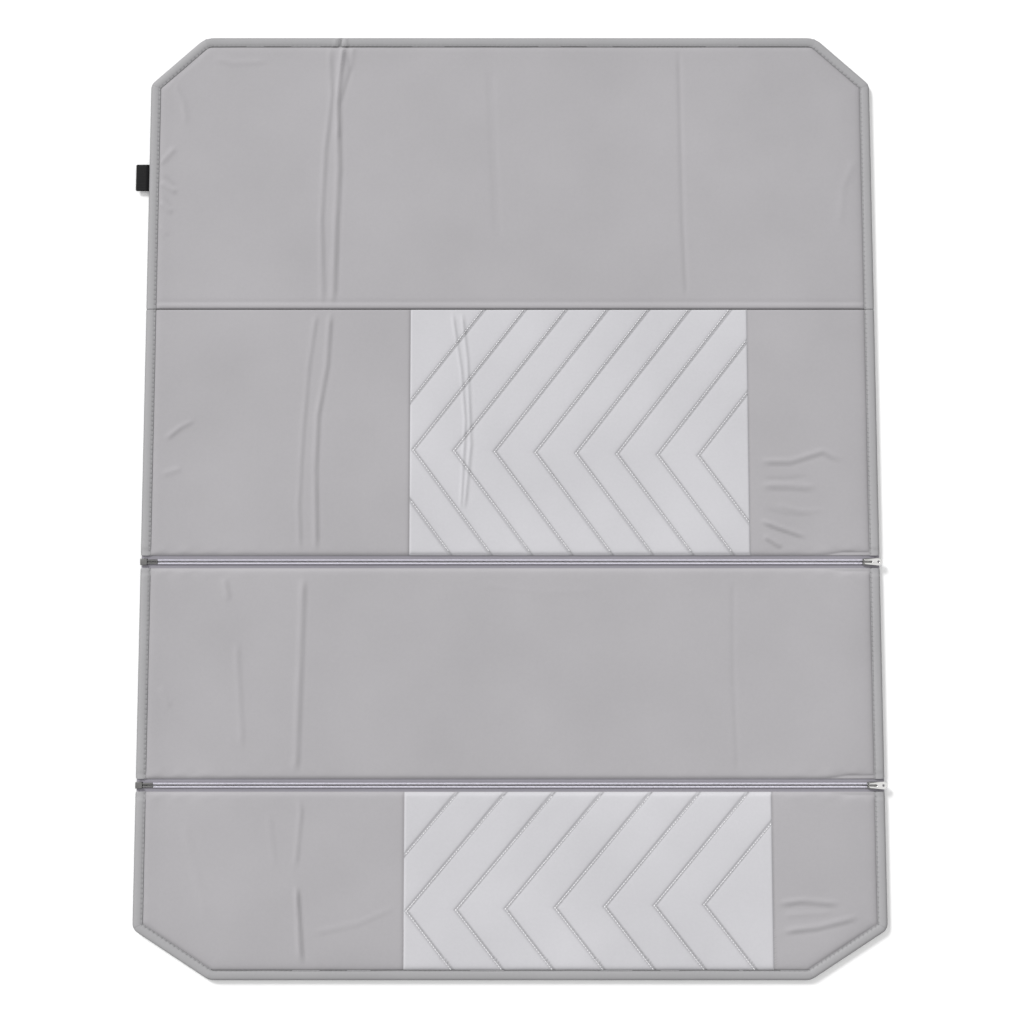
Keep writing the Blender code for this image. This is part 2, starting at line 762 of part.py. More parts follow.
def build():
    """Make every piece, each under the empty on the joint that carries it."""
    clear_scene()
    half_fold = FOLD_LINE_SPACING / 2
    root = add_axis("panel_2_frame", (0.0, 0.0, 0.0))
    seam_axis = add_axis("fold_seam_axis", (0.0, SEAM_Y, SEAM_AXIS_Z), root)
    zip_1_rear = add_axis("zip_1_rear_fold_axis", (0.0, ZIP_1_Y + half_fold, MID_HEIGHT), root)
    zip_1_front = add_axis(
        "zip_1_front_fold_axis", (0.0, ZIP_1_Y - half_fold, MID_HEIGHT), zip_1_rear
    )
    zip_2_rear = add_axis(
        "zip_2_rear_fold_axis", (0.0, ZIP_2_Y + half_fold, MID_HEIGHT), zip_1_front
    )
    zip_2_front = add_axis(
        "zip_2_front_fold_axis", (0.0, ZIP_2_Y - half_fold, MID_HEIGHT), zip_2_rear
    )
    add_panel(PANEL_1, seam_axis)
    add_panel(PANEL_2, root, INSERT_1_SPAN)
    add_panel(PANEL_3, zip_1_front)
    add_panel(PANEL_4, zip_2_front, INSERT_2_SPAN)
    add_object("panel_1_binding", end_binding(PANEL_1), "grey_binding", seam_axis)
    add_object("panel_4_binding", end_binding(PANEL_4), "grey_binding", zip_2_front)
    for panel, parent in ((PANEL_2, root), (PANEL_3, zip_1_front)):
        for label, side in (("left", -1), ("right", 1)):
            name = panel.name + "_binding_" + label
            add_object(name, straight_binding(panel, side), "grey_binding", parent)
    add_side_tab(seam_axis)
    add_zip("zip_1", ZIP_1_Y, root, zip_1_front, zip_1_rear, zip_1_front)
    add_zip("zip_2", ZIP_2_Y, zip_1_front, zip_2_front, zip_2_rear, zip_2_front)


build()
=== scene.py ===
"""Looks of a fold-out kneeling pad: padded cloth panels, quilted insets, edge binding, zips and studio."""

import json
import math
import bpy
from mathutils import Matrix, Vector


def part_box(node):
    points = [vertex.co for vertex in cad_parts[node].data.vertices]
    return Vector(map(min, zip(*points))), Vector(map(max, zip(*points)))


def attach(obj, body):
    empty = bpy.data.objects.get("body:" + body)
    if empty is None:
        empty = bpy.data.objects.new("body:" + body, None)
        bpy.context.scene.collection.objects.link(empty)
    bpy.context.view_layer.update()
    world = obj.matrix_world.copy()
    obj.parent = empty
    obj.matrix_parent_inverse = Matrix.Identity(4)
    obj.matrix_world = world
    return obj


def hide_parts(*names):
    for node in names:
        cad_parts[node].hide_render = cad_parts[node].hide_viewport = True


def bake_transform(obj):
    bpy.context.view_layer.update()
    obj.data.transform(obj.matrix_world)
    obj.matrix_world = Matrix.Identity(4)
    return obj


bl_info = {
    "name": "Fold-out kneeling pad",
    "version": (1, 0, 0),
    "blender": (4, 5, 0),
    "location": "View3D > Sidebar > Kneeling pad",
    "description": "Builds the cloth, quilting, binding and zips of a fold-out kneeling pad",
    "category": "Add Mesh",
}

import bmesh
import bpy
import numpy as np
from mathutils import Matrix, Vector

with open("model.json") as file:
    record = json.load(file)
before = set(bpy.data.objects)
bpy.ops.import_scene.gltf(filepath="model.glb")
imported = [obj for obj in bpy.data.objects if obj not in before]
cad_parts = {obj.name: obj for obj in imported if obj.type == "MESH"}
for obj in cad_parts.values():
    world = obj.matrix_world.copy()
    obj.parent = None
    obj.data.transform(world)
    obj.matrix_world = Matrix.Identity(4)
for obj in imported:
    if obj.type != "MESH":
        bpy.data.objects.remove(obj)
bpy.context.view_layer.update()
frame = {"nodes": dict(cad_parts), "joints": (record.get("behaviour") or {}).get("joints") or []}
MM = 0.001

# ---- Places taken from the fixed frame ----
LEFT_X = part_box("panel_2_binding_left")[0].x
RIGHT_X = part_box("panel_2_binding_right")[1].x
MID_Z = sum(corner.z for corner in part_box("zip_1_rear_tape")) / 2
FULL_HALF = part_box("panel_3_top_cover")[1].z - MID_Z
INSERT_SPANS = {
    "panel_2": tuple(corner.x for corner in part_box("panel_2_quilted_insert")),
    "panel_4": tuple(corner.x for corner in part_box("panel_4_quilted_insert")),
}
ZIPS = {
    "zip_1": ("panel_2", "panel_3"),
    "zip_2": ("panel_3", "panel_4"),
}

# ---- Shape of a padded edge, seen in section ----
FLANGE_HALF = 1.05 * MM
RIM_SHARE = 0.42
RIM_ROUND = 0.7 * MM
BOUND_START, BOUND_RISE = 9.3 * MM, 1.9 * MM
ZIP_START, ZIP_RISE = 0.6 * MM, 1.5 * MM
SLIDER_ROOM = 3.4 * MM
SEAM_START, SEAM_RISE = 0.1 * MM, 0.35 * MM
BOUND_ROWS = (1.3, 4.0, 7.5, 9.0, 9.6, 10.3, 11.2, 12.4, 14.0, 16.0, 18.5, 21.0)
ZIP_ROWS = (0, 0.12, 0.3, 0.7, 1.5, 2.6, 3.4, 4.1, 5.0, 6.2, 7.8, 9.8, 12.0)
SEAM_ROWS = (0, 0.1, 0.3, 0.6, 1.0, 1.5, 2.1, 2.9, 3.8, 4.8, 6.0, 7.4, 9.2, 11.4)
FIELD_STEP = 2.0 * MM

# ---- Folds pressed into the covers: route in millimetres, height, half width ----
FOLD_DEPTH = 1.5
FOLDS = {
    "panel_1": (
        (((-176, 445), (-174, 392), (-180, 337), (-183, 267), (-181, 182)), 0.42, 2.2),
        (((-163, 445), (-169, 382), (-167, 317), (-169, 267), (-171, 182)), 0.60, 2.6),
        (((-162, 447), (-168, 388), (-167, 345)), 0.75, 1.8),
        (((-153, 447), (-156, 415)), 0.45, 2.4),
        (((-18, 420), (-14, 327), (-10, 245)), -0.16, 3.4),
        (((165, 440), (166, 342), (167, 267), (170, 190)), -0.26, 2.0),
        (((-340, 322), (-324, 340)), 0.5, 2.6),
        (((-340, 305), (-322, 294)), 0.6, 2.4),
        (((-340, 286), (-326, 274)), 0.5, 2.4),
        (((-340, 262), (-330, 252)), 0.4, 2.4),
        (((-330, 408), (-318, 385), (-314, 360)), 0.4, 3.4),
        (((-292, 430), (-270, 424), (-235, 426)), 0.3, 3.4),
        (((335, 330), (322, 300), (318, 260)), 0.25, 4.0),
    ),
    "panel_2": (
        (((-186, 178), (-193, 125), (-198, 58), (-201, -9), (-199, -56)), 0.36, 2.4),
        (((-173, 178), (-176, 125), (-184, 77), (-186, 24), (-184, -56)), 0.58, 2.4),
        (((-56, 178), (-47, 121), (-43, 72), (-47, -16)), 0.48, 1.8),
        (((-47, 178), (-41, 130), (-38, 48), (-44, -16)), 0.46, 1.8),
        (((236, 33), (267, 33), (298, 43), (319, 33)), 0.52, 2.2),
        (((236, 10), (264, 10), (293, 8)), 0.5, 2.4),
        (((250, -8), (275, -15), (300, -14)), 0.3, 2.6),
        (((236, -23), (254, -30), (282, -40)), 0.75, 1.9),
        (((240, -38), (258, -50)), 0.7, 1.9),
        (((-330, 53), (-314, 65), (-300, 72)), 0.5, 2.6),
        (((-332, 20), (-312, 26)), 0.35, 2.8),
    ),
    "panel_3": (
        (((-196, -76), (-198, -156), (-200, -230), (-201, -262)), 0.55, 3.0),
        (((-271, -78), (-266, -101)), 0.35, 2.8),
        (((-258, -137), (-255, -184), (-251, -239)), 0.3, 2.8),
        (((211, -80), (210, -165), (213, -262)), -0.14, 2.4),
        (((-330, -180), (-318, -200)), 0.3, 3.0),
        (((-30, -84), (30, -92), (80, -90)), 0.1, 3.4),
    ),
    "panel_4": (
        (((-198, -282), (-195, -295), (-200, -350)), 0.4, 2.6),
        (((-199, -362), (-197, -386), (-194, -438)), 0.85, 2.0),
        (((-226, -295), (-219, -350)), 0.16, 3.4),
        (((-305, -304), (-280, -395)), 0.16, 4.2),
        (((-185, -407), (-141, -398), (-104, -382)), 0.2, 2.6),
        (((246, -380), (271, -377), (308, -380)), 0.55, 2.0),
        (((250, -391), (300, -388)), 0.3, 2.4),
        (((250, -405), (285, -401), (325, -391)), 0.55, 2.2),
    ),
}

# ---- Creases: sharp hollows beside the folds, with painted shade in them ----
CREASE_HALF, CREASE_DEPTH, CREASE_SHADE = 1.8 * MM, 0.5 * MM, 0.15
CREASES = {
    "panel_1": (
        (((-175, 436), (-172, 392), (-177, 337), (-180, 267), (-177, 186)), 0.6),
        (((-159, 438), (-156, 415), (-165, 382), (-163, 317), (-165, 267), (-167, 186)), 1.0),
        (((-159, 438), (-156, 415), (-164, 384), (-163, 345)), 0.6),
        (((-23, 420), (-19, 327), (-15, 250)), 0.2),
        (((164, 430), (165, 342), (166, 267), (169, 188)), 0.4),
        (((-336, 312), (-322, 300)), 0.5),
        (((-336, 291), (-326, 280)), 0.4),
        (((-300, 432), (-322, 415), (-332, 392)), 0.4),
    ),
    "panel_2": (
        (((-184, 176), (-191, 125), (-196, 58), (-199, -9), (-197, -52)), 0.5),
        (((-170, 176), (-173, 125), (-181, 77), (-183, 24), (-181, -52)), 0.8),
        (((-54, 178), (-45, 121), (-41, 72), (-45, -16)), 0.5),
        (((-44, 178), (-39, 130), (-35, 48), (-41, -16)), 0.6),
        (((238, 29), (267, 29), (298, 39), (317, 29)), 0.7),
        (((238, 17), (262, 16), (286, 19)), 0.5),
        (((238, 5), (264, 5), (293, 3)), 0.6),
        (((238, -12), (262, -18), (290, -20)), 0.4),
        (((237, -26), (254, -33), (282, -42)), 0.9),
        (((240, -40), (258, -52)), 0.9),
        (((-326, 53), (-312, 65), (-298, 72)), 0.5),
    ),
    "panel_3": (
        (((-192, -78), (-194, -156), (-196, -230), (-197, -262)), 0.6),
        (((-267, -78), (-262, -101)), 0.4),
        (((-254, -137), (-251, -184), (-247, -239)), 0.25),
        (((210, -80), (209, -165), (212, -262)), 0.2),
    ),
    "panel_4": (
        (((-196, -282), (-193, -295), (-197, -350)), 0.4),
        (((-196, -362), (-194, -386), (-190, -438)), 1.0),
        (((-222, -295), (-215, -350)), 0.15),
        (((248, -384), (271, -381), (308, -384)), 0.8),
        (((252, -409), (285, -405), (325, -395)), 0.8),
        (((-185, -411), (-141, -402), (-104, -386)), 0.15),
    ),
}

# ---- Quilting: first apex, apex drift across, upper and lower slope ----
CHEVRONS = {
    "panel_2": {"apex": (-92.4, 43.5), "pitch": 38.8, "count": 8, "drift": -5.5, "upper": 0.775, "lower": 0.75},
    "panel_4": {"apex": (-96.3, -387.0), "pitch": 46.0, "count": 7, "drift": 6.0, "upper": 0.86, "lower": 0.78},
}
QUILT_STEP = 1.0 * MM
QUILT_WALL = 0.5 * MM

# ---- Binding section: inset from the edge and half height, in millimetres ----
BINDING_OUTER = (
    (9.5, 1.5), (9.5, 1.85), (9.15, 2.02), (8.55, 1.72), (7.9, 2.05), (6.6, 2.34), (4.6, 2.42),
    (2.7, 2.28), (1.2, 1.82), (0.35, 1.1), (0.0, 0.4),
)
BINDING_INNER = (
    (9.42, 1.3), (9.1, 1.3), (8.7, 1.3), (8.1, 1.3), (7.4, 1.3), (6.2, 1.3), (4.4, 1.3),
    (2.6, 1.25), (1.6, 1.1), (1.2, 0.7), (1.1, 0.25),
)
STITCH_ROW = 3
PINCH_SHARE = 0.72
PINCH_FLAT, PINCH_RISE = 4.2 * MM, 4.5 * MM
END_ROUND = 2.4 * MM
BEND_RADIUS = 9.8 * MM
STITCH_CLEAR = 3 * MM

# ---- Cloth simulation of the slack covers ----
SLACK_CELL = 6 * MM
SLACK_INSET = 10 * MM
SLACK_END_INSET = 3 * MM
SETTLE_FRAMES = 18
SMOOTHING_PASSES = 14

# ---- Stage ----
FLOOR_HALF, FLOOR_DROP = 40.0, 0.3 * MM
DAYLIGHT = 0.66
CAMERA_TILT, CAMERA_DISTANCE, CAMERA_LENS = math.radians(5.2), 1.423, 52.7
CAMERA_AIM = Vector((0.0018, -0.0157, 0.005))


# ---------------------------------------------------------------- settings
class PadSizes(bpy.types.PropertyGroup):
    """Sizes of the sewing and the zips."""

    stitch_pitch: bpy.props.FloatProperty(
        name="Stitch pitch", description="Distance from one binding stitch to the next",
        default=4.6 * MM, min=1 * MM, unit="LENGTH")
    thread_width: bpy.props.FloatProperty(
        name="Thread width", description="Thickness of the binding thread",
        default=0.7 * MM, min=0.1 * MM, unit="LENGTH")
    quilt_pitch: bpy.props.FloatProperty(
        name="Quilting stitch", description="Distance from one quilting stitch to the next",
        default=2.7 * MM, min=1 * MM, unit="LENGTH")
    quilt_puff: bpy.props.FloatProperty(
        name="Quilting puff", description="How far the wadding rises between quilting lines",
        default=0.5 * MM, min=0, unit="LENGTH")
    quilt_groove: bpy.props.FloatProperty(
        name="Quilting groove", description="How deep a quilting line is pulled in",
        default=0.5 * MM, min=0, unit="LENGTH")
    cloth_slack: bpy.props.FloatProperty(
        name="Cloth slack", description="Extra length of the cover cloth over its foam",
        default=0.006, min=0, max=0.05)
    slack_height: bpy.props.FloatProperty(
        name="Slack height", description="Highest undulation that slack cloth makes",
        default=0.45 * MM, min=0, unit="LENGTH")
    tooth_pitch: bpy.props.FloatProperty(
        name="Tooth pitch", description="Distance from one zip tooth to the next",
        default=1.15 * MM, min=0.5 * MM, unit="LENGTH")
    metal_softening: bpy.props.FloatProperty(
        name="Metal edge rounding", description="Bevel width on the die-cast zip parts",
        default=0.14 * MM, min=0, unit="LENGTH")


class PadColours(bpy.types.PropertyGroup):
    """Colours of the cloth, thread, zips and tab."""

    cover: bpy.props.FloatVectorProperty(
        name="Cover", description="Coated cloth of the panels", subtype="COLOR",
        default=(0.376, 0.366, 0.380), min=0, max=1)
    binding: bpy.props.FloatVectorProperty(
        name="Binding", description="Cloth of the edge binding", subtype="COLOR",
        default=(0.345, 0.342, 0.350), min=0, max=1)
    insert: bpy.props.FloatVectorProperty(
        name="Quilted inset", description="Light cloth of the insets", subtype="COLOR",
        default=(0.525, 0.52, 0.542), min=0, max=1)
    thread: bpy.props.FloatVectorProperty(
        name="Binding thread", description="Thread along the binding", subtype="COLOR",
        default=(0.27, 0.265, 0.275), min=0, max=1)
    quilt_thread: bpy.props.FloatVectorProperty(
        name="Quilting thread", description="Thread of the chevrons", subtype="COLOR",
        default=(0.80, 0.795, 0.81), min=0, max=1)
    tape: bpy.props.FloatVectorProperty(
        name="Zip tape", description="Woven tape of the zips", subtype="COLOR",
        default=(0.27, 0.26, 0.29), min=0, max=1)
    coil: bpy.props.FloatVectorProperty(
        name="Zip coil", description="Nylon coil of the zips", subtype="COLOR",
        default=(0.72, 0.70, 0.78), min=0, max=1)
    metal: bpy.props.FloatVectorProperty(
        name="Nickel", description="Plating of sliders and pull tabs", subtype="COLOR",
        default=(0.66, 0.655, 0.645), min=0, max=1)
    tab: bpy.props.FloatVectorProperty(
        name="Side tab", description="Black woven side tab", subtype="COLOR",
        default=(0.009, 0.009, 0.0095), min=0, max=1)


def sizes():
    return bpy.context.scene.pad_sizes


def colours():
    return bpy.context.scene.pad_colours


# ---------------------------------------------------------------- materials
def node_material(name):
    """A new material, its nodes and links, with the shader ready to wire."""
    material = bpy.data.materials.new(name)
    material.use_nodes = True
    nodes, links = material.node_tree.nodes, material.node_tree.links
    nodes.clear()
    output = nodes.new("ShaderNodeOutputMaterial")
    shader = nodes.new("ShaderNodeBsdfPrincipled")
    links.new(shader.outputs["BSDF"], output.inputs["Surface"])
    return material, nodes, links, shader


def math_node(nodes, links, operation, first, second):
    """A Math node on two inputs, each a socket or a number."""
    node = nodes.new("ShaderNodeMath")
    node.operation = operation
    for socket, value in zip(node.inputs, (first, second)):
        if isinstance(value, (int, float)):
            socket.default_value = value
        else:
            links.new(value, socket)
    return node.outputs[0]


def centred(nodes, links, value, middle, strength):
    """How far the value is from its middle, times a strength."""
    return math_node(nodes, links, "MULTIPLY", math_node(nodes, links, "SUBTRACT", value, middle), strength)


def tinted(nodes, links, colour, factor):
    """The colour times a brightness factor."""
    scaled = nodes.new("ShaderNodeVectorMath")
    scaled.operation = "SCALE"
    scaled.inputs[0].default_value = colour
    links.new(factor, scaled.inputs["Scale"])
    return scaled.outputs[0]


def noise_value(nodes, links, place, scale, detail):
    node = nodes.new("ShaderNodeTexNoise")
    node.inputs["Scale"].default_value = scale
    node.inputs["Detail"].default_value = detail
    links.new(place, node.inputs["Vector"])
    return node.outputs["Fac"]


def thread_waves(nodes, links, place, axis, pitch):
    """Ribs of thread across one axis, one per pitch."""
    wave = nodes.new("ShaderNodeTexWave")
    wave.wave_type = "BANDS"
    wave.bands_direction = axis
    wave.wave_profile = "SIN"
    wave.inputs["Scale"].default_value = 2 * math.pi / (20 * pitch)
    links.new(place, wave.inputs["Vector"])
    return wave.outputs["Fac"]


def cloth_material(name, colour, pitch, relief, rough, mottling=0.035, sheen=0.04, ribs=False):
    """Woven cloth: threads both ways, grain, uneven dye, and painted shade in seams, creases and along edges,
    taken from a per-point attribute.
    """
    material, nodes, links, shader = node_material(name)
    place = nodes.new("ShaderNodeTexCoord").outputs["Object"]
    across = thread_waves(nodes, links, place, "X", pitch)
    along = thread_waves(nodes, links, place, "Y", pitch * (3 if ribs else 1))
    weave = math_node(nodes, links, "MAXIMUM", across, along)
    grain = noise_value(nodes, links, place, 1400, 2)
    surface = math_node(nodes, links, "ADD", weave, math_node(nodes, links, "MULTIPLY", grain, 0.8))

    cloud = noise_value(nodes, links, place, 9, 3)
    speck = noise_value(nodes, links, place, 420, 2)
    cloud = centred(nodes, links, cloud, 0.5, 5 * mottling)
    speck = centred(nodes, links, speck, 0.5, 1.6 * mottling)
    depth = centred(nodes, links, weave, 0.8, 0.07)
    # Painted shade: the per-point shade attribute darkens the cloth in seams, creases, stitch holes and along
    # edges, where shade falls.
    seam = nodes.new("ShaderNodeAttribute")
    seam.attribute_name = "painted_shade"
    bright = math_node(nodes, links, "ADD", math_node(nodes, links, "ADD", cloud, speck), 1.0)
    bright = math_node(nodes, links, "ADD", bright, depth)
    bright = math_node(nodes, links, "SUBTRACT", bright, seam.outputs["Fac"])
    links.new(tinted(nodes, links, colour, bright), shader.inputs["Base Color"])

    uneven = math_node(nodes, links, "MULTIPLY", noise_value(nodes, links, place, 30, 2), 0.14)
    links.new(math_node(nodes, links, "ADD", uneven, rough - 0.07), shader.inputs["Roughness"])
    bump = nodes.new("ShaderNodeBump")
    bump.inputs["Strength"].default_value = 0.5
    bump.inputs["Distance"].default_value = relief
    links.new(surface, bump.inputs["Height"])
    links.new(bump.outputs["Normal"], shader.inputs["Normal"])
    shader.inputs["Sheen Weight"].default_value = sheen
    shader.inputs["Sheen Roughness"].default_value = 0.5
    shader.inputs["Specular IOR Level"].default_value = 0.14
    return material


def thread_material(name, colour):
    """Twisted sewing thread."""
    material, nodes, links, shader = node_material(name)
    place = nodes.new("ShaderNodeTexCoord").outputs["Object"]
    twist = thread_waves(nodes, links, place, "DIAGONAL", 0.35 * MM)
    bright = math_node(nodes, links, "ADD", math_node(nodes, links, "MULTIPLY", twist, 0.16), 0.9)
    links.new(tinted(nodes, links, colour, bright), shader.inputs["Base Color"])
    bump = nodes.new("ShaderNodeBump")
    bump.inputs["Strength"].default_value = 0.6
    bump.inputs["Distance"].default_value = 0.05 * MM
    links.new(twist, bump.inputs["Height"])
    links.new(bump.outputs["Normal"], shader.inputs["Normal"])
    shader.inputs["Roughness"].default_value = 0.55
    shader.inputs["Sheen Weight"].default_value = 0.2
    return material


def nylon_material(name, colour):
    """Moulded nylon of the zip coils."""
    material, nodes, links, shader = node_material(name)
    place = nodes.new("ShaderNodeTexCoord").outputs["Object"]
    cloud = noise_value(nodes, links, place, 160, 3)
    bright = math_node(nodes, links, "ADD", math_node(nodes, links, "MULTIPLY", cloud, 0.16), 0.92)
    links.new(tinted(nodes, links, colour, bright), shader.inputs["Base Color"])
    uneven = math_node(nodes, links, "MULTIPLY", cloud, 0.2)
    links.new(math_node(nodes, links, "ADD", uneven, 0.25), shader.inputs["Roughness"])
    bump = nodes.new("ShaderNodeBump")
    bump.inputs["Strength"].default_value = 0.3
    bump.inputs["Distance"].default_value = 0.04 * MM
    links.new(noise_value(nodes, links, place, 2600, 2), bump.inputs["Height"])
    links.new(bump.outputs["Normal"], shader.inputs["Normal"])
    shader.inputs["Specular IOR Level"].default_value = 0.5
    return material


def nickel_material(name, colour, rough):
    """Plated die-cast metal with fine tumbling marks, and painted shade where its faces turn edge-on to the
    view.
    """
    material, nodes, links, shader = node_material(name)
    place = nodes.new("ShaderNodeTexCoord").outputs["Object"]
    marks = noise_value(nodes, links, place, 700, 4)
    bright = math_node(nodes, links, "ADD", math_node(nodes, links, "MULTIPLY", marks, 0.2), 1.0)
    # Painted shade: the colour darkens where the surface turns edge-on to the view, standing in for shade on the
    # walls of holes and windows.
    rim = nodes.new("ShaderNodeLayerWeight")
    rim.inputs["Blend"].default_value = 0.35
    dark = math_node(nodes, links, "MULTIPLY", rim.outputs["Facing"], 0.75)
    bright = math_node(nodes, links, "SUBTRACT", bright, dark)
    links.new(tinted(nodes, links, colour, bright), shader.inputs["Base Color"])
    uneven = math_node(nodes, links, "MULTIPLY", marks, 0.22)
    links.new(math_node(nodes, links, "ADD", uneven, rough - 0.11), shader.inputs["Roughness"])
    bump = nodes.new("ShaderNodeBump")
    bump.inputs["Strength"].default_value = 0.25
    bump.inputs["Distance"].default_value = 0.02 * MM
    links.new(marks, bump.inputs["Height"])
    links.new(bump.outputs["Normal"], shader.inputs["Normal"])
    shader.inputs["Metallic"].default_value = 1.0
    return material


def floor_material():
    """Pale studio paper."""
    material, nodes, links, shader = node_material("studio_paper")
    place = nodes.new("ShaderNodeTexCoord").outputs["Object"]
    fibre = noise_value(nodes, links, place, 60, 3)
    bright = math_node(nodes, links, "ADD", math_node(nodes, links, "MULTIPLY", fibre, 0.01), 0.99)
    links.new(tinted(nodes, links, (0.97, 0.97, 0.97), bright), shader.inputs["Base Color"])
    shader.inputs["Roughness"].default_value = 0.95
    shader.inputs["Specular IOR Level"].default_value = 0.1
    return material


MAKERS = {
    "cover_cloth": lambda c: cloth_material("cover_cloth", c.cover, 0.48 * MM, 0.03 * MM, 0.66),
    "binding_cloth": lambda c: cloth_material("binding_cloth", c.binding, 0.48 * MM, 0.035 * MM, 0.62),
    "inset_cloth": lambda c: cloth_material("inset_cloth", c.insert, 0.5 * MM, 0.04 * MM, 0.64, mottling=0.04),
    "tape_cloth": lambda c: cloth_material("tape_cloth", c.tape, 0.7 * MM, 0.12 * MM, 0.7, ribs=True),
    "tab_cloth": lambda c: cloth_material(
        "tab_cloth", c.tab, 0.9 * MM, 0.2 * MM, 0.5, mottling=0.15, sheen=0.0, ribs=True),
    "binding_thread": lambda c: thread_material("binding_thread", c.thread),
    "quilt_thread": lambda c: thread_material("quilt_thread", c.quilt_thread),
    "coil_nylon": lambda c: nylon_material("coil_nylon", c.coil),
    "polished_nickel": lambda c: nickel_material("polished_nickel", c.metal, 0.2),
    # The slider body is darker than the pull: partly its grey plating, partly painted shade round the pull's
    # window.
    "slider_nickel": lambda c: nickel_material("slider_nickel", [0.3 * part for part in c.metal], 0.26),
    "dull_nickel": lambda c: nickel_material("dull_nickel", [0.3 * part for part in c.metal], 0.42),
}


def finish_named(name):
    """The material of that name, made the first time it is asked for."""
    found = bpy.data.materials.get(name)
    return found or MAKERS[name](colours())


# ---------------------------------------------------------------- mesh helpers
def new_piece(name, points, faces, material, shade=None, smooth=True):
    """A mesh piece from points and faces, linked to the scene, with its painted seam shade stored per point."""
    mesh = bpy.data.meshes.new(name)
    mesh.from_pydata(np.asarray(points, float).reshape(-1, 3).tolist(), [], faces)
    mesh.update()
    if shade is not None:
        attribute = mesh.attributes.new("painted_shade", "FLOAT", "POINT")
        attribute.data.foreach_set("value", np.asarray(shade, np.float32).ravel())
    mesh.materials.append(finish_named(material))
    mesh.polygons.foreach_set("use_smooth", [smooth] * len(mesh.polygons))
    piece = bpy.data.objects.new(name, mesh)
    bpy.context.scene.collection.objects.link(piece)
    return piece


def grid_faces(rows, columns, start=0, flip=False):
    """Quads over a grid of points numbered row by row."""
    j, i = np.mgrid[0:rows - 1, 0:columns - 1]
    a = start + (j * columns + i).ravel()
    quads = np.stack([a, a + 1, a + columns + 1, a + columns], 1)
    if flip:
        quads = quads[:, ::-1]
    return quads.tolist()


def grid_rim(rows, columns):
    """Indices round a grid's rim, counter-clockwise seen from above."""
    last = (rows - 1) * columns
    return (list(range(columns)) + [j * columns + columns - 1 for j in range(1, rows)]
            + [last + i for i in range(columns - 2, -1, -1)]
            + [j * columns for j in range(rows - 2, 0, -1)])


def swept_shell(name, sections, material, shade=None, closed=True):
    """A closed piece from equal sections set one after another. Each section is a loop of points."""
    sections = np.asarray(sections, float)
    count, size = sections.shape[:2]
    faces = []
    for k in range(count - 1):
        for p in range(size):
            q = (p + 1) % size
            faces.append((k * size + p, k * size + q, (k + 1) * size + q, (k + 1) * size + p))
    if closed:
        faces.append(tuple(range(size))[::-1])
        faces.append(tuple((count - 1) * size + p for p in range(size)))
    piece = new_piece(name, sections, faces, material, shade)
    face_outwards(piece)
    return piece


def face_outwards(piece):
    """Recalculates the normals of a closed piece."""
    shape = bmesh.new()
    shape.from_mesh(piece.data)
    bmesh.ops.recalc_face_normals(shape, faces=shape.faces)
    shape.to_mesh(piece.data)
    shape.free()
    piece.data.update()


def smooth_step(value, low=0.0, high=1.0):
    t = np.clip((value - low) / (high - low), 0, 1)
    return t * t * (3 - 2 * t)


def place_piece(piece, body, replaced=()):
    """Gives a finished piece its body and the solids that it stands for."""
    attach(piece, body)
    if replaced:
        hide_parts(*replaced)
    return piece


# ---------------------------------------------------------------- panel plans
class Plan:
    """Where one panel lies, how each cross edge is finished, and its cut-off corners."""

    def __init__(self, name, low_y, high_y, low_kind, high_kind, cut=None, round_end=0.0):
        self.name, self.low_y, self.high_y = name, low_y, high_y
        self.low_kind, self.high_kind = low_kind, high_kind
        self.cut, self.round_end = cut, round_end
        self.walls = [(1, 0, -LEFT_X), (-1, 0, RIGHT_X)]
        if cut:
            across, along = cut
            length = math.hypot(across, along)
            sign = 1 if high_kind == "bound" else -1
            end = high_y if sign > 0 else low_y
            self.walls.append((0, -sign, sign * end))
            for side in (1, -1):
                # the line from (side * (half - across), end) to (side * half, end - sign * along)
                nx, ny = -side * along / length, -sign * across / length
                corner = side * RIGHT_X, end - sign * along
                self.walls.append((nx, ny, -(nx * corner[0] + ny * corner[1])))

    def from_binding(self, x, y):
        """Distance from the nearest bound edge."""
        return np.min([nx * x + ny * y + c for nx, ny, c in self.walls], axis=0)

    def span_at(self, y, rim):
        """Left and right end of the row at y, that far in from every bound edge."""
        left, right = np.full_like(y, LEFT_X + rim), np.full_like(y, RIGHT_X - rim)
        for nx, ny, c in self.walls:
            if abs(nx) < 1e-6:
                continue
            x = (rim - c - ny * y) / nx
            if nx > 0:
                left = np.maximum(left, x)
            else:
                right = np.minimum(right, x)
        return left, right

    def cross_distance(self, y):
        """Distance to each cross edge that isn't bound, with its kind."""
        found = []
        if self.low_kind != "bound":
            found.append((y - self.low_y, self.low_kind))
        if self.high_kind != "bound":
            found.append((self.high_y - y, self.high_kind))
        return found

    def half_height(self, x, y):
        """Half the pad's thickness: thin at its sewn edges, full in the field."""
        share = 1 - np.exp(-np.maximum(self.from_binding(x, y) - BOUND_START, 0) / BOUND_RISE)
        rim = np.ones_like(share)
        for distance, kind in self.cross_distance(y):
            start, rise = (ZIP_START, ZIP_RISE) if kind == "zip" else (SEAM_START, SEAM_RISE)
            if kind == "zip":
                # room for the slider and its pull tab when the panels fold
                start = start + (SLIDER_ROOM - ZIP_START) * smooth_step(x, 296 * MM, 316 * MM)
            share = share * (1 - np.exp(-np.maximum(distance - start, 0) / rise))
            inner = np.clip(1 - distance / RIM_ROUND, 0, 1)
            rim = rim * (RIM_SHARE + (1 - RIM_SHARE) * np.sqrt(1 - inner * inner))
        return rim * (FLANGE_HALF + (FULL_HALF - FLANGE_HALF) * share)


def row_offsets(kind):
    return np.array({"bound": BOUND_ROWS, "zip": ZIP_ROWS, "seam": SEAM_ROWS}[kind]) * MM


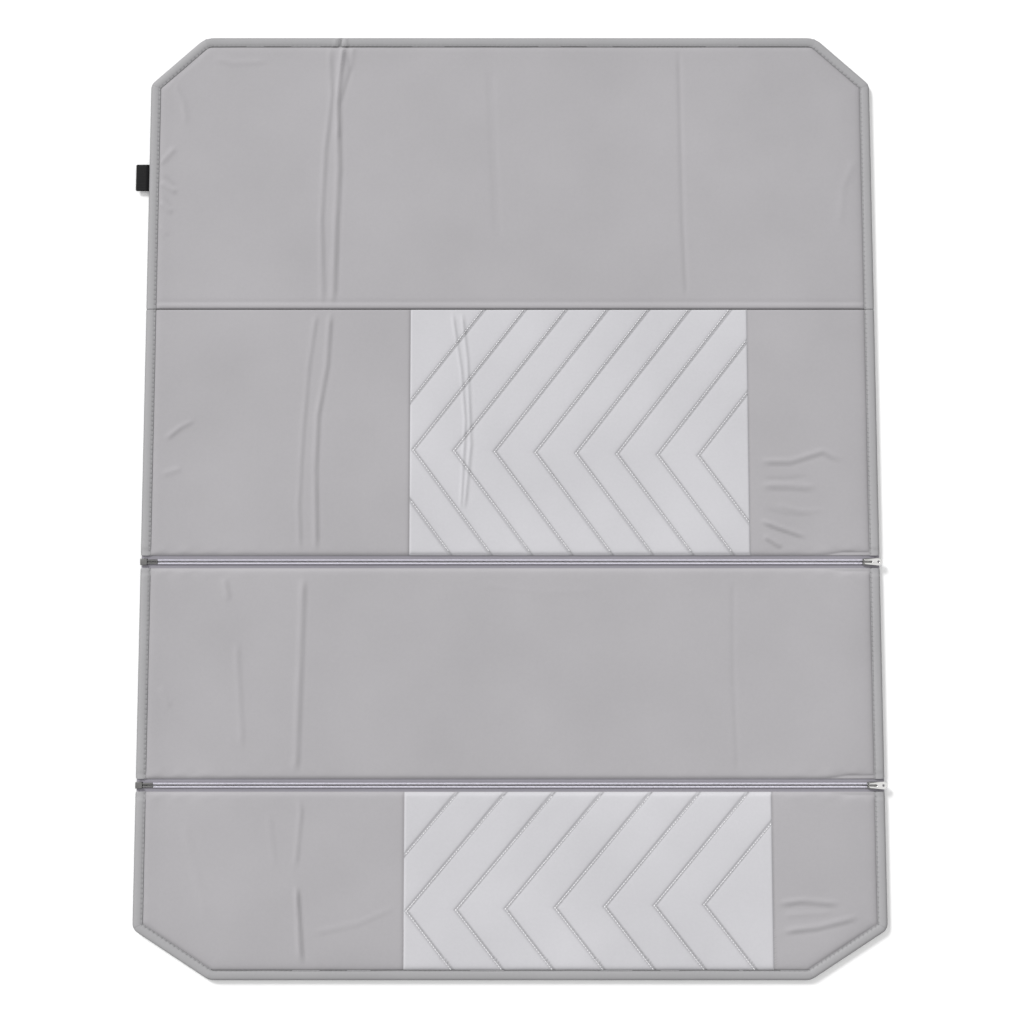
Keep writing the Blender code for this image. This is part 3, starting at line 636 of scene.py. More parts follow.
PLANS = {
    "panel_1": Plan(
        "panel_1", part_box("panel_1_base_cover")[0].y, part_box("panel_1_binding")[1].y,
        "seam", "bound", cut=(52 * MM, 47 * MM), round_end=22 * MM),
    "panel_2": Plan(
        "panel_2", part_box("panel_2_base_cover")[0].y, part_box("panel_2_base_cover")[1].y, "zip", "seam"),
    "panel_3": Plan(
        "panel_3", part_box("panel_3_base_cover")[0].y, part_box("panel_3_base_cover")[1].y, "zip", "zip"),
    "panel_4": Plan(
        "panel_4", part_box("panel_4_binding")[0].y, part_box("panel_4_base_cover")[1].y,
        "bound", "zip", cut=(72 * MM, 46 * MM), round_end=16 * MM),
}


def stepped(low, high, step):
    """Evenly spaced values strictly between low and high."""
    count = max(2, int(round((high - low) / step)))
    return np.linspace(low, high, count + 1)[1:-1]


def panel_grid(plan, step=FIELD_STEP):
    """Points of the panel's grid: rows close together at its edges and even in its field."""
    low, high = row_offsets(plan.low_kind), row_offsets(plan.high_kind)
    rows = np.concatenate([
        plan.low_y + low, stepped(plan.low_y + low[-1], plan.high_y - high[-1], step),
        (plan.high_y - high)[::-1]])
    side = row_offsets("bound")
    left, right = plan.span_at(rows, side[0])
    side = side - side[0]
    middle = stepped(0, 1, step / (RIGHT_X - LEFT_X))
    inner_left, inner_right = left + side[-1], right - side[-1]
    x = np.concatenate([
        left[:, None] + side, inner_left[:, None] + (inner_right - inner_left)[:, None] * middle,
        right[:, None] - side[::-1]], axis=1)
    return x, np.repeat(rows[:, None], x.shape[1], axis=1)


def along_route(x, y, route):
    """Distance from a route of points and how far along it, for every point."""
    near, travelled, gone = np.full(x.shape, 1e9), np.zeros(x.shape), 0.0
    for (ax, ay), (bx, by) in zip(route[:-1], route[1:]):
        dx, dy = bx - ax, by - ay
        length = math.hypot(dx, dy)
        t = np.clip(((x - ax) * dx + (y - ay) * dy) / length ** 2, 0, 1)
        distance = np.hypot(x - ax - t * dx, y - ay - t * dy)
        closer = distance < near
        near = np.where(closer, distance, near)
        travelled = np.where(closer, gone + t * length, travelled)
        gone += length
    return near, travelled, gone


def fold_height(x, y, folds):
    """Height that pressed folds add, fading out at their ends."""
    total = np.zeros(x.shape)
    for route, height, width in folds:
        near, travelled, length = along_route(x, y, [(px * MM, py * MM) for px, py in route])
        fade = min(0.2 * length, 12 * MM)
        ends = smooth_step(travelled, 0, fade) * smooth_step(length - travelled, 0, fade)
        wander = 1 + 0.25 * np.sin(travelled / (9 * MM)) * np.sin(travelled / (23 * MM) + 1)
        total += FOLD_DEPTH * height * MM * wander * ends * np.exp(-(near / (0.85 * width * MM)) ** 2)
    return total


def crease_share(x, y, creases):
    """How far each point lies into a crease, from 0 to about 1."""
    total = np.zeros(x.shape)
    for route, strength in creases:
        near, travelled, length = along_route(x, y, [(px * MM, py * MM) for px, py in route])
        fade = min(0.25 * length, 14 * MM)
        ends = smooth_step(travelled, 0, fade) * smooth_step(length - travelled, 0, fade)
        total = np.maximum(total, strength * ends * np.exp(-(near / CREASE_HALF) ** 2))
    return total


def slack_cloth(plan):
    """Lets a slightly slack cover settle over its panel, and returns the height it gains on an even grid."""
    low_y, high_y = plan.low_y + SLACK_END_INSET, plan.high_y - SLACK_END_INSET
    columns = int((RIGHT_X - LEFT_X - 2 * SLACK_INSET) / SLACK_CELL) + 1
    rows = int((high_y - low_y) / SLACK_CELL) + 1
    xs = np.linspace(LEFT_X + SLACK_INSET, RIGHT_X - SLACK_INSET, columns)
    ys = np.linspace(low_y, high_y, rows)
    x, y = np.meshgrid(xs, ys)
    start = 0.12 * MM * (
        np.sin(x * 131 + y * 77) + np.sin(x * 57 - y * 183 + 2) + np.sin(x * 223 + 1) * np.sin(y * 251))
    cloth = new_piece(
        plan.name + "_slack", np.stack([x, y, start], -1), grid_faces(rows, columns), "cover_cloth")
    pinned = cloth.vertex_groups.new(name="sewn")
    pinned.add(grid_rim(rows, columns), 1.0, "REPLACE")
    modifier = cloth.modifiers.new("settle", "CLOTH")
    settings = modifier.settings
    settings.quality = 5
    settings.mass = 0.25
    settings.tension_stiffness = settings.compression_stiffness = 20
    settings.shear_stiffness = 8
    settings.bending_stiffness = 0.4
    settings.effector_weights.gravity = 0
    settings.vertex_group_mass = "sewn"
    settings.shrink_min = -sizes().cloth_slack
    settings.use_pressure = True
    settings.uniform_pressure_force = 0.1
    for frame_number in range(1, SETTLE_FRAMES + 1):
        bpy.context.scene.frame_set(frame_number)
    graph = bpy.context.evaluated_depsgraph_get()
    settled = cloth.evaluated_get(graph).to_mesh()
    heights = np.array([point.co.z for point in settled.vertices]).reshape(rows, columns)
    cloth.evaluated_get(graph).to_mesh_clear()
    bpy.context.scene.frame_set(1)
    spare = cloth.data
    bpy.data.objects.remove(cloth)
    bpy.data.meshes.remove(spare)
    heights = heights - np.median(heights)
    for _ in range(SMOOTHING_PASSES):
        spread = np.pad(heights, 1, mode="edge")
        heights = (4 * heights + spread[:-2, 1:-1] + spread[2:, 1:-1]
                   + spread[1:-1, :-2] + spread[1:-1, 2:]) / 8
    near = np.exp(-plan.from_binding(x, y) / (45 * MM))
    return xs, ys, sizes().slack_height * (0.35 + 0.65 * near) * np.tanh(heights / np.std(heights) / 1.6)


def sampled(field, x, y):
    """The field's value at each point, between its grid's points."""
    xs, ys, values = field
    u = np.clip((x - xs[0]) / (xs[-1] - xs[0]) * (len(xs) - 1), 0, len(xs) - 1.001)
    v = np.clip((y - ys[0]) / (ys[-1] - ys[0]) * (len(ys) - 1), 0, len(ys) - 1.001)
    i, j = u.astype(int), v.astype(int)
    s, t = smooth_step(u - i), smooth_step(v - j)
    return ((values[j, i] * (1 - s) + values[j, i + 1] * s) * (1 - t)
            + (values[j + 1, i] * (1 - s) + values[j + 1, i + 1] * s) * t)


def edge_pucker(plan, x, y):
    """Small gathers that the stitching draws into the cloth beside the binding and the zips."""
    inset = plan.from_binding(x, y) - BOUND_START
    run = np.where(plan.from_binding(x, np.full_like(y, (plan.low_y + plan.high_y) / 2)) < 30 * MM, y, x)
    wave = np.sin(run / (1.9 * MM) + 2 * np.sin(run / (17 * MM))) * (0.6 + 0.4 * np.sin(run / (31 * MM)))
    total = 0.16 * MM * wave * np.exp(-np.maximum(inset, 0) / (3 * MM)) * smooth_step(inset, 0, 1.2 * MM)
    for distance, kind in plan.cross_distance(y):
        if kind == "zip":
            ends = smooth_step(np.abs(x), 0.20, 0.34)
            wave = np.sin(x / (4.1 * MM) + 1.7 * np.sin(x / (27 * MM)))
            total += (0.05 + 0.22 * ends) * MM * wave * np.exp(-((distance - 5 * MM) / (3.5 * MM)) ** 2)
    return total


def seam_ridge(plan, y):
    """The welt that the fold seam raises in panel 1 and the hollow behind it."""
    if plan.low_kind != "seam":
        return 0.0
    d = y - plan.low_y
    return (0.30 * MM * np.exp(-((d - 3.0 * MM) / (1.5 * MM)) ** 2)
            - 0.42 * MM * np.exp(-((d - 6.6 * MM) / (1.5 * MM)) ** 2))


def inset_border(plan, x):
    """Distance inside the quilted inset's side seams, negative outside it, or None."""
    if plan.name not in INSERT_SPANS:
        return None
    low, high = INSERT_SPANS[plan.name]
    return np.minimum(x - low, high - x)


def top_height(plan, x, y, field):
    """Height of the cover's upper face."""
    half = plan.half_height(x, y)
    field_share = smooth_step(half / FULL_HALF, 0.45, 0.95)
    lift = fold_height(x, y, FOLDS[plan.name]) + sampled(field, x, y) + seam_ridge(plan, y)
    lift = lift - CREASE_DEPTH * crease_share(x, y, CREASES[plan.name])
    return MID_Z + half + field_share * (lift + edge_pucker(plan, x, y))


class KNEELPAD_OT_padded_panels(bpy.types.Operator):
    """Builds the four padded panels in coated cloth"""

    bl_idname = "kneelpad.padded_panels"
    bl_label = "Padded panels"

    def execute(self, context):
        for plan in PLANS.values():
            x, y = panel_grid(plan)
            plan.field = slack_cloth(plan)
            top = top_height(plan, x, y, plan.field)
            half = plan.half_height(x, y)
            dent = 0.12 * MM * np.sin(x * 61 + 1) * np.sin(y * 83) * smooth_step(half / FULL_HALF, 0.8, 1)
            bottom = np.maximum(MID_Z - half + np.maximum(dent, 0), 0)
            # Painted shade: a dark line along the binding's inner edge, a broad darker band near the bound
            # edges, and dark lines at the seam and zip edges. The underside keeps only this edge shade.
            shade = 0.14 * np.exp(-np.abs(plan.from_binding(x, y) - 9.7 * MM) / (0.8 * MM))
            shade += 0.06 * np.exp(-np.abs(plan.from_binding(x, y) - 9.7 * MM) / (13 * MM))
            for distance, kind in plan.cross_distance(y):
                shade += (0.16 if kind == "seam" else 0.08) * np.exp(-distance / (0.5 * MM))
            border, under_shade = inset_border(plan, x), shade.ravel().copy()
            # Painted shade in the creases.
            shade = shade + CREASE_SHADE * crease_share(x, y, CREASES[plan.name])
            if border is not None:
                top = top - 0.9 * MM * smooth_step(border, 0, 1.4 * MM) * smooth_step(half / FULL_HALF, 0.3, 0.6)
                top = top - 0.30 * MM * np.exp(-(border / (1.1 * MM)) ** 2)
                # Painted shade along the inset's side seams.
                shade += 0.22 * np.exp(-(np.abs(border) / (0.8 * MM)))
            rows, columns = x.shape
            points = np.concatenate([np.stack([x, y, top], -1).reshape(-1, 3),
                                     np.stack([x, y, bottom], -1).reshape(-1, 3)])
            offset = rows * columns
            faces = grid_faces(rows, columns) + grid_faces(rows, columns, offset, flip=True)
            rim = grid_rim(rows, columns)
            for a, b in zip(rim, rim[1:] + rim[:1]):
                faces.append((a, offset + a, offset + b, b))
            piece = new_piece(plan.name + "_pad", points, faces, "cover_cloth",
                              np.concatenate([shade.ravel(), under_shade]))
            replaced = [node for node in frame["nodes"]
                        if node.startswith(plan.name) and ("cover" in node or "foam_core" in node)]
            place_piece(piece, plan.name, replaced)
        return {"FINISHED"}


# ---------------------------------------------------------------- quilted insets
def chevron_offset(spec, x, y):
    """Signed distance to the nearest quilting line."""
    first_x, first_y = spec["apex"][0] * MM, spec["apex"][1] * MM
    width = spec["pitch"] * MM
    apex_y = first_y + spec["drift"] * MM * (x - first_x) / ((spec["count"] - 1) * width)
    above = y > apex_y
    slope = np.where(above, spec["upper"], spec["lower"])
    shifted = x - slope * np.abs(y - apex_y) - first_x
    index = np.clip(np.round(shifted / width), -1, spec["count"] - 1)
    return (shifted - index * width) / np.sqrt(1 + slope ** 2)


def chevron_routes(plan, spec):
    """The quilting lines as routes inside the inset, one for each chevron or part of one."""
    left, right = INSERT_SPANS[plan.name]
    width, low_y, high_y = spec["pitch"] * MM, plan.low_y + 5 * MM, plan.high_y - 1.5 * MM
    if plan.low_kind == "bound":
        low_y = plan.low_y + 10.5 * MM
    if plan.high_kind == "zip":
        high_y = plan.high_y - 5 * MM
    routes = []
    for k in range(-1, spec["count"]):
        apex_x = spec["apex"][0] * MM + k * width
        apex_y = (spec["apex"][1] + spec["drift"] * k / (spec["count"] - 1)) * MM
        for end_y, slope in ((high_y, spec["upper"]), (low_y, spec["lower"])):
            steps = np.linspace(0, 1, 60)
            y = apex_y + (end_y - apex_y) * steps
            x = apex_x + slope * np.abs(y - apex_y)
            inside = (x > left + 1.5 * MM) & (x < right - 1.5 * MM)
            if inside.sum() > 3:
                routes.append(np.stack([x[inside], y[inside]], 1))
    return routes


def quilt_top(plan, spec, x, y):
    """Height of the quilted cloth: puffs between the lines and a groove along each."""
    pad = top_height(plan, x, y, plan.field)
    across = np.abs(chevron_offset(spec, x, y))
    puff = sizes().quilt_puff * (1 - np.exp(-across / (3.2 * MM)))
    groove = sizes().quilt_groove * np.exp(-(across / (1.3 * MM)) ** 2)
    share = smooth_step(plan.half_height(x, y) / FULL_HALF, 0.5, 0.95)
    border = np.maximum(inset_border(plan, x), 0)
    tucked = 0.75 * MM * np.exp(-(border / (0.9 * MM)) ** 2)
    return pad + 0.12 * MM + share * (puff - groove) * smooth_step(border, 0, 2 * MM) - tucked * share


class KNEELPAD_OT_quilted_insets(bpy.types.Operator):
    """Builds the two light quilted insets and their chevron stitching"""

    bl_idname = "kneelpad.quilted_insets"
    bl_label = "Quilted insets"

    def execute(self, context):
        tree = stitch_tree()
        for name, spec in CHEVRONS.items():
            plan = PLANS[name]
            left, right = INSERT_SPANS[name]
            rows = panel_grid(plan, QUILT_STEP)[1][:, 0]
            if plan.low_kind == "bound":
                rows = rows[rows > plan.low_y + 8 * MM]
            else:
                rows = rows[rows >= plan.low_y + 0.25 * MM]
            rows = rows[rows <= plan.high_y - 0.25 * MM]
            edge = np.array([0.2, 0.5, 0.9, 1.4, 2.0]) * MM
            columns = np.concatenate([
                left + edge, stepped(left + edge[-1], right - edge[-1], QUILT_STEP), (right - edge)[::-1]])
            x, y = np.meshgrid(columns, rows)
            top = quilt_top(plan, spec, x, y)
            across = chevron_offset(spec, x, y)
            # Painted shade: dark lines beside each quilting line, stronger on its right and uneven along it,
            # then darkening in the creases, along the inset's side seams, at the seam and zip edges and beside
            # the binding.
            uneven = 1 + 0.3 * np.sin(y * 2100 + 3 * np.sin(x * 310)) * np.sin(y * 270 + x * 130)
            shade = 0.42 * uneven * np.exp(-((across - 1.0 * MM) / (0.8 * MM)) ** 2)
            shade += 0.22 * uneven * np.exp(-((across + 1.0 * MM) / (0.75 * MM)) ** 2)
            shade += 0.05 * np.exp(-np.abs(across - 1.0 * MM) / (2.5 * MM))
            shade += 0.8 * CREASE_SHADE * crease_share(x, y, CREASES[name])
            shade += 0.20 * np.exp(-np.maximum(inset_border(plan, x), 0) / (0.5 * MM))
            for distance, kind in plan.cross_distance(y):
                shade += (0.16 if kind == "seam" else 0.08) * np.exp(-distance / (0.5 * MM))
            if plan.low_kind == "bound":
                shade += 0.2 * np.exp(-np.abs(plan.from_binding(x, y) - 9.7 * MM) / (0.8 * MM))
            count, wide = x.shape
            points = np.stack([x, y, top], -1).reshape(-1, 3)
            rim = grid_rim(count, wide)
            skirt = points[rim] - np.array([0, 0, QUILT_WALL])
            faces = grid_faces(count, wide)
            base, total = count * wide, len(rim)
            for k in range(total):
                q = (k + 1) % total
                faces.append((rim[k], base + k, base + q, rim[q]))
            faces += quilt_back(base, count, wide)
            piece = new_piece(name + "_quilt", np.concatenate([points, skirt]), faces, "inset_cloth",
                              np.concatenate([shade.ravel(), shade.ravel()[rim]]))
            nodes = (name + "_quilted_insert", name + "_wadding")
            place_piece(piece, name, nodes)

            routes = []
            for route in chevron_routes(plan, spec):
                height = quilt_top(plan, spec, route[:, 0], route[:, 1]) + 0.10 * MM
                routes.append(np.column_stack([route, height]))
            stitches = grown(
                name + "_quilt_stitches", routes, tree, "quilt_thread",
                {"Pitch": sizes().quilt_pitch, "Length": 2.5 * MM, "Width": 0.95 * MM,
                 "Height": 0.6 * MM, "Unevenness": 0.2, "Seed": 7})
            place_piece(stitches, name)
        return {"FINISHED"}


def quilt_back(base, rows, columns):
    """Closes the underside of an inset with a strip from side to side for each row."""
    total = 2 * (rows + columns) - 4
    right = [base + columns - 1 + j for j in range(rows)]
    left = [base] + [base + total - j for j in range(1, rows)]
    faces = [tuple([left[1]] + [right[1]] + [base + i for i in range(columns - 1, -1, -1)])]
    for j in range(1, rows - 2):
        faces.append((left[j], left[j + 1], right[j + 1], right[j]))
    upper = [base + columns - 1 + rows - 1 + i for i in range(columns)]
    faces.append(tuple([left[rows - 2]] + upper[::-1] + [right[rows - 2]]))
    return faces


# ---------------------------------------------------------------- node trees
def new_tree(name, inputs):
    """A Geometry Nodes group with named number inputs, ready for its nodes."""
    tree = bpy.data.node_groups.new(name, "GeometryNodeTree")
    tree.interface.new_socket("Geometry", in_out="INPUT", socket_type="NodeSocketGeometry")
    for label, kind, value in inputs:
        socket = tree.interface.new_socket(label, in_out="INPUT", socket_type=kind)
        if value is not None:
            socket.default_value = value
    tree.interface.new_socket("Geometry", in_out="OUTPUT", socket_type="NodeSocketGeometry")
    entry, leave = tree.nodes.new("NodeGroupInput"), tree.nodes.new("NodeGroupOutput")
    return tree, entry, leave


def bead_tree(name, turned):
    """Sets small rounded beads along each route, turned to follow it. turned lays the bead's poles down."""
    found = bpy.data.node_groups.get(name)
    if found:
        return found
    tree, entry, leave = new_tree(name, [
        ("Pitch", "NodeSocketFloat", 4 * MM), ("Length", "NodeSocketFloat", 3 * MM),
        ("Width", "NodeSocketFloat", 0.5 * MM), ("Height", "NodeSocketFloat", 0.5 * MM),
        ("Lean", "NodeSocketFloat", 0.0), ("Unevenness", "NodeSocketFloat", 0.06),
        ("Seed", "NodeSocketInt", 1), ("Finish", "NodeSocketMaterial", None)])
    nodes, links = tree.nodes, tree.links
    curve = nodes.new("GeometryNodeMeshToCurve")
    links.new(entry.outputs["Geometry"], curve.inputs["Mesh"])
    points = nodes.new("GeometryNodeCurveToPoints")
    points.mode = "LENGTH"
    links.new(curve.outputs["Curve"], points.inputs["Curve"])
    links.new(entry.outputs["Pitch"], points.inputs["Length"])
    size = nodes.new("ShaderNodeCombineXYZ")
    for axis, label in zip("XYZ", ("Length", "Width", "Height")):
        links.new(entry.outputs[label], size.inputs[axis])
    bead = nodes.new("GeometryNodeTransform")
    ball = nodes.new("GeometryNodeMeshUVSphere")
    ball.inputs["Segments"].default_value = 6
    ball.inputs["Rings"].default_value = 5
    ball.inputs["Radius"].default_value = 0.5
    lying = nodes.new("GeometryNodeTransform")
    lying.inputs["Rotation"].default_value = turned
    links.new(ball.outputs["Mesh"], lying.inputs["Geometry"])
    links.new(lying.outputs["Geometry"], bead.inputs["Geometry"])
    links.new(size.outputs[0], bead.inputs["Scale"])
    turn = nodes.new("ShaderNodeCombineXYZ")
    links.new(entry.outputs["Lean"], turn.inputs["Z"])
    links.new(turn.outputs[0], bead.inputs["Rotation"])
    facing = nodes.new("FunctionNodeAlignRotationToVector")
    facing.axis = "X"
    links.new(points.outputs["Tangent"], facing.inputs["Vector"])
    least = nodes.new("ShaderNodeMath")
    least.operation = "SUBTRACT"
    least.inputs[0].default_value = 1.0
    links.new(entry.outputs["Unevenness"], least.inputs[1])
    uneven = nodes.new("FunctionNodeRandomValue")
    uneven.data_type = "FLOAT"
    links.new(least.outputs[0], uneven.inputs[2])
    uneven.inputs[3].default_value = 1.0
    links.new(entry.outputs["Seed"], uneven.inputs["Seed"])
    instances = nodes.new("GeometryNodeInstanceOnPoints")
    links.new(points.outputs["Points"], instances.inputs["Points"])
    links.new(bead.outputs["Geometry"], instances.inputs["Instance"])
    links.new(facing.outputs["Rotation"], instances.inputs["Rotation"])
    links.new(uneven.outputs[1], instances.inputs["Scale"])
    real = nodes.new("GeometryNodeRealizeInstances")
    links.new(instances.outputs["Instances"], real.inputs["Geometry"])
    smooth = nodes.new("GeometryNodeSetShadeSmooth")
    links.new(real.outputs["Geometry"], smooth.inputs["Geometry"])
    finish = nodes.new("GeometryNodeSetMaterial")
    links.new(smooth.outputs["Geometry"], finish.inputs["Geometry"])
    links.new(entry.outputs["Finish"], finish.inputs["Material"])
    links.new(finish.outputs["Geometry"], leave.inputs["Geometry"])
    return tree


def stitch_tree():
    """Short rounded stitches along a route."""
    return bead_tree("stitches_along_route", (0, math.pi / 2, 0))


def tooth_tree():
    """Loops of nylon coil along a row."""
    return bead_tree("coil_along_row", (math.pi / 2, 0, 0))


def grown(name, routes, tree, material, values):
    """Runs a tree along the routes and keeps the result as a plain mesh piece."""
    points, edges = [], []
    for route in routes:
        first = len(points)
        points += np.asarray(route, float).tolist()
        edges += [(first + k, first + k + 1) for k in range(len(route) - 1)]
    mesh = bpy.data.meshes.new(name + "_route")
    mesh.from_pydata(points, edges, [])
    piece = bpy.data.objects.new(name, mesh)
    bpy.context.scene.collection.objects.link(piece)
    modifier = piece.modifiers.new("growth", "NODES")
    modifier.node_group = tree
    values = dict(values, Finish=finish_named(material))
    for item in tree.interface.items_tree:
        if item.item_type == "SOCKET" and item.in_out == "INPUT" and item.name in values:
            modifier[item.identifier] = values[item.name]
    graph = bpy.context.evaluated_depsgraph_get()
    graph.update()
    made = bpy.data.meshes.new_from_object(piece.evaluated_get(graph), depsgraph=graph)
    if not made.polygons:
        raise RuntimeError(f"{name}: the node tree gave no faces")
    piece.modifiers.clear()
    piece.data = made
    made.name = name
    bpy.data.meshes.remove(mesh)
    return piece


# ---------------------------------------------------------------- edge binding
def rounded_path(corners, radii, step):
    """Even points along a path with rounded corners, and the inward direction at each."""
    dense = [np.array(corners[0])]
    for k in range(1, len(corners) - 1):
        before, here, after = (np.array(corners[i]) for i in (k - 1, k, k + 1))
        into, out = here - before, after - here
        into, out = into / np.linalg.norm(into), out / np.linalg.norm(out)
        turn = math.acos(float(np.clip(into @ out, -1, 1)))
        reach = radii[k] * math.tan(turn / 2)
        start = here - into * reach
        side = np.array([into[1], -into[0]])
        centre = start + side * radii[k]
        for t in np.linspace(0, turn, 13):
            c, s = math.cos(t), math.sin(t)
            arm = start - centre
            dense.append(centre + np.array([arm[0] * c + arm[1] * s, -arm[0] * s + arm[1] * c]))
    dense.append(np.array(corners[-1]))
    dense = np.array(dense)
    run = np.concatenate([[0], np.cumsum(np.linalg.norm(np.diff(dense, axis=0), axis=1))])
    count = int(round(run[-1] / step))
    wanted = np.linspace(0, run[-1], count + 1)
    ends = np.array([0.15, 0.5, 1.0, 1.7]) * step
    wanted = np.unique(np.concatenate([wanted, ends, run[-1] - ends]))
    path = np.stack([np.interp(wanted, run, dense[:, i]) for i in (0, 1)], 1)
    tangent = np.gradient(path, wanted, axis=0)
    tangent /= np.linalg.norm(tangent, axis=1)[:, None]
    return path, np.stack([tangent[:, 1], -tangent[:, 0]], 1), wanted


def binding_runs(plan):
    """Each binding of a panel: its name, path corners, roundings, and which ends meet a zip."""
    low, high = plan.low_y, plan.high_y
    if not plan.cut:
        kinds = (plan.low_kind == "zip", plan.high_kind == "zip")
        return [
            ("left", [(LEFT_X, low), (LEFT_X, high)], [0, 0], kinds),
            ("right", [(RIGHT_X, high), (RIGHT_X, low)], [0, 0], kinds[::-1])]
    across, along = plan.cut
    sign = 1 if plan.high_kind == "bound" else -1
    end, start = (high, low) if sign > 0 else (low, high)
    outline = [(-sign * RIGHT_X, start), (-sign * RIGHT_X, end - sign * along),
               (-sign * (RIGHT_X - across), end), (sign * (RIGHT_X - across), end),
               (sign * RIGHT_X, end - sign * along), (sign * RIGHT_X, start)]
    kinds = (plan.low_kind == "zip" or plan.high_kind == "zip",) * 2
    return [("", outline, [0, BEND_RADIUS, plan.round_end, plan.round_end, BEND_RADIUS, 0], kinds)]


def binding_sections(path, inward, run, pinched, pitch, mitres):
    """Section of folded binding at each point of its path, with its stitch dimples and painted shade in its
    stitch holes, mitres and along its edges.
    """
    outer = np.array([(i, h) for i, h in BINDING_OUTER] + [(i, -h) for i, h in BINDING_OUTER[::-1]]) * MM
    inner = np.array([(i, h) for i, h in BINDING_INNER] + [(i, -h) for i, h in BINDING_INNER[::-1]]) * MM
    length = run[-1]
    sections, shades = [], []
    for k, s in enumerate(run):
        tall, nip = 1.0, 0.0
        for from_end, pinch in ((s, pinched[0]), (length - s, pinched[1])):
            if pinch:
                tall *= PINCH_SHARE + (1 - PINCH_SHARE) * float(
                    smooth_step(from_end, PINCH_FLAT, PINCH_FLAT + PINCH_RISE))
            if from_end < END_ROUND:
                nip += (0.9 if pinch else 0.25) * MM * (1 - math.sqrt(1 - (1 - from_end / END_ROUND) ** 2))
        dimple = math.cos(2 * math.pi * s / pitch)
        wobble = 0.16 * MM * math.sin(s / (13 * MM)) * math.sin(s / (31 * MM) + 1)
        mitre = sum(math.exp(-((s - at) / (0.8 * MM)) ** 2) for at in mitres)
        flat_run = abs(inward[k][1]) > 0.9
        loop = []
        for section, is_outer in ((outer, True), (inner[::-1], False)):
            for n, (inset, half) in enumerate(section):
                up = half * tall
                if is_outer:
                    near_lip = max(0.0, 1 - abs(inset - 8.7 * MM) / (1.6 * MM))
                    up -= math.copysign(0.13 * MM * near_lip * (1 + dimple) + 0.16 * MM * mitre, half)
                    inset = max(inset, nip) if inset > 2 * MM else inset + nip * (1 - inset / (2 * MM))
                    if inset > 5 * MM:
                        inset += wobble
                else:
                    up = math.copysign(min(abs(up), FLANGE_HALF + 0.16 * MM), half)
                spot = path[k] + inward[k] * inset
                loop.append((spot[0], spot[1], MID_Z + up))
                # Painted shade: dark stitch holes and mitre folds, a darker outer edge and hidden inner face, a
                # dark line along the inner lip, and the runs across the pad darker overall.
                hole = max(0.0, 1 - abs(inset - 8.55 * MM) / (0.9 * MM)) if is_outer else 0.0
                dark = hole * (0.04 + (0.15 if flat_run else 0.62) * max(0.0, dimple) ** 3) + 0.12 * mitre
                edge = 0.48 * max(0.0, 1 - inset / (1.5 * MM)) if is_outer else 0.3
                lip = (0.6 if flat_run else 0.15) if is_outer and inset > 9.1 * MM else 0.0
                edge += 0.05 if flat_run else 0.0
                shades.append(dark + edge + lip)
        sections.append(loop)
    return sections, shades


class KNEELPAD_OT_edge_binding(bpy.types.Operator):
    """Builds the folded binding round the panels and its row of stitches on both faces"""

    bl_idname = "kneelpad.edge_binding"
    bl_label = "Edge binding"

    def execute(self, context):
        tree, pitch = stitch_tree(), sizes().stitch_pitch
        for plan in PLANS.values():
            for side, corners, radii, pinched in binding_runs(plan):
                path, inward, run = rounded_path(corners, radii, pitch / 4)
                mitres = [run[np.argmin(np.hypot(*(path - corner).T))] for corner in corners[1:-1:3]]
                sections, shades = binding_sections(path, inward, run, pinched, pitch, mitres)
                tail = "_" + side if side else ""
                sections = np.array(sections)
                kink = fold_height(sections[..., 0], sections[..., 1], (
                    (((-166, 438), (-165, 452)), -0.9, 1.6), (((-160, 438), (-161, 452)), 0.5, 2.2),
                    (((-171, 438), (-170, 452)), 0.3, 2.0)))
                sections[..., 2] += np.where(sections[..., 2] > MID_Z + 1.4 * MM, kink, 0)
                binding = swept_shell(
                    f"{plan.name}_edge_binding{tail}", sections, "binding_cloth", shades)
                place_piece(binding, plan.name, (f"{plan.name}_binding{tail}",))
                routes = []
                inset, half = BINDING_OUTER[STITCH_ROW]
                clear = (run > STITCH_CLEAR) & (run < run[-1] - STITCH_CLEAR)
                shifted = np.interp(run[clear] + pitch / 2, run, np.arange(len(run)))
                under_row = 2 * len(BINDING_OUTER) - 1 - STITCH_ROW
                for face in (1, -1):
                    spots = path + inward * inset * MM
                    tall = sections[:, STITCH_ROW if face > 0 else under_row, 2]
                    line = np.column_stack([spots, tall + face * 0.07 * MM])
                    routes.append(np.stack([
                        np.interp(shifted, np.arange(len(run)), line[:, i]) for i in range(3)], 1))
                stitches = grown(
                    f"{plan.name}_binding_stitches{tail}", routes, tree, "binding_thread",
                    {"Pitch": pitch, "Length": 3.6 * MM, "Width": sizes().thread_width,
                     "Height": 0.5 * MM, "Seed": 3})
                place_piece(stitches, plan.name)
        return {"FINISHED"}


# ---------------------------------------------------------------- fold seam and side tab
def ribbon(name, rows_y, rows_z, half, xs, material, edge_at=None):
    """A thin flat strip of cloth along X, its edges rounded, from rows of points across it.
    edge_at gives the first row's y at an x, and the other rows keep beyond it."""
    rows_y, rows_z = np.array(rows_y), np.array(rows_z)
    outward = np.sign(rows_y[-1] - rows_y[0])
    thin = half * np.concatenate([[0.35], np.ones(len(rows_y) - 2), [0.35]])
    loop_z = np.concatenate([rows_z + thin, (rows_z - thin)[::-1]])
    sections = []
    for x in xs:
        across = rows_y.copy()
        if edge_at:
            least = edge_at(x) + outward * 0.02 * MM * np.arange(len(rows_y))
            across = outward * np.maximum(outward * rows_y, outward * least)
            across[0] = least[0]
        sections.append([(x, y, z) for y, z in zip(np.concatenate([across, across[::-1]]), loop_z)])
    return swept_shell(name, sections, material)


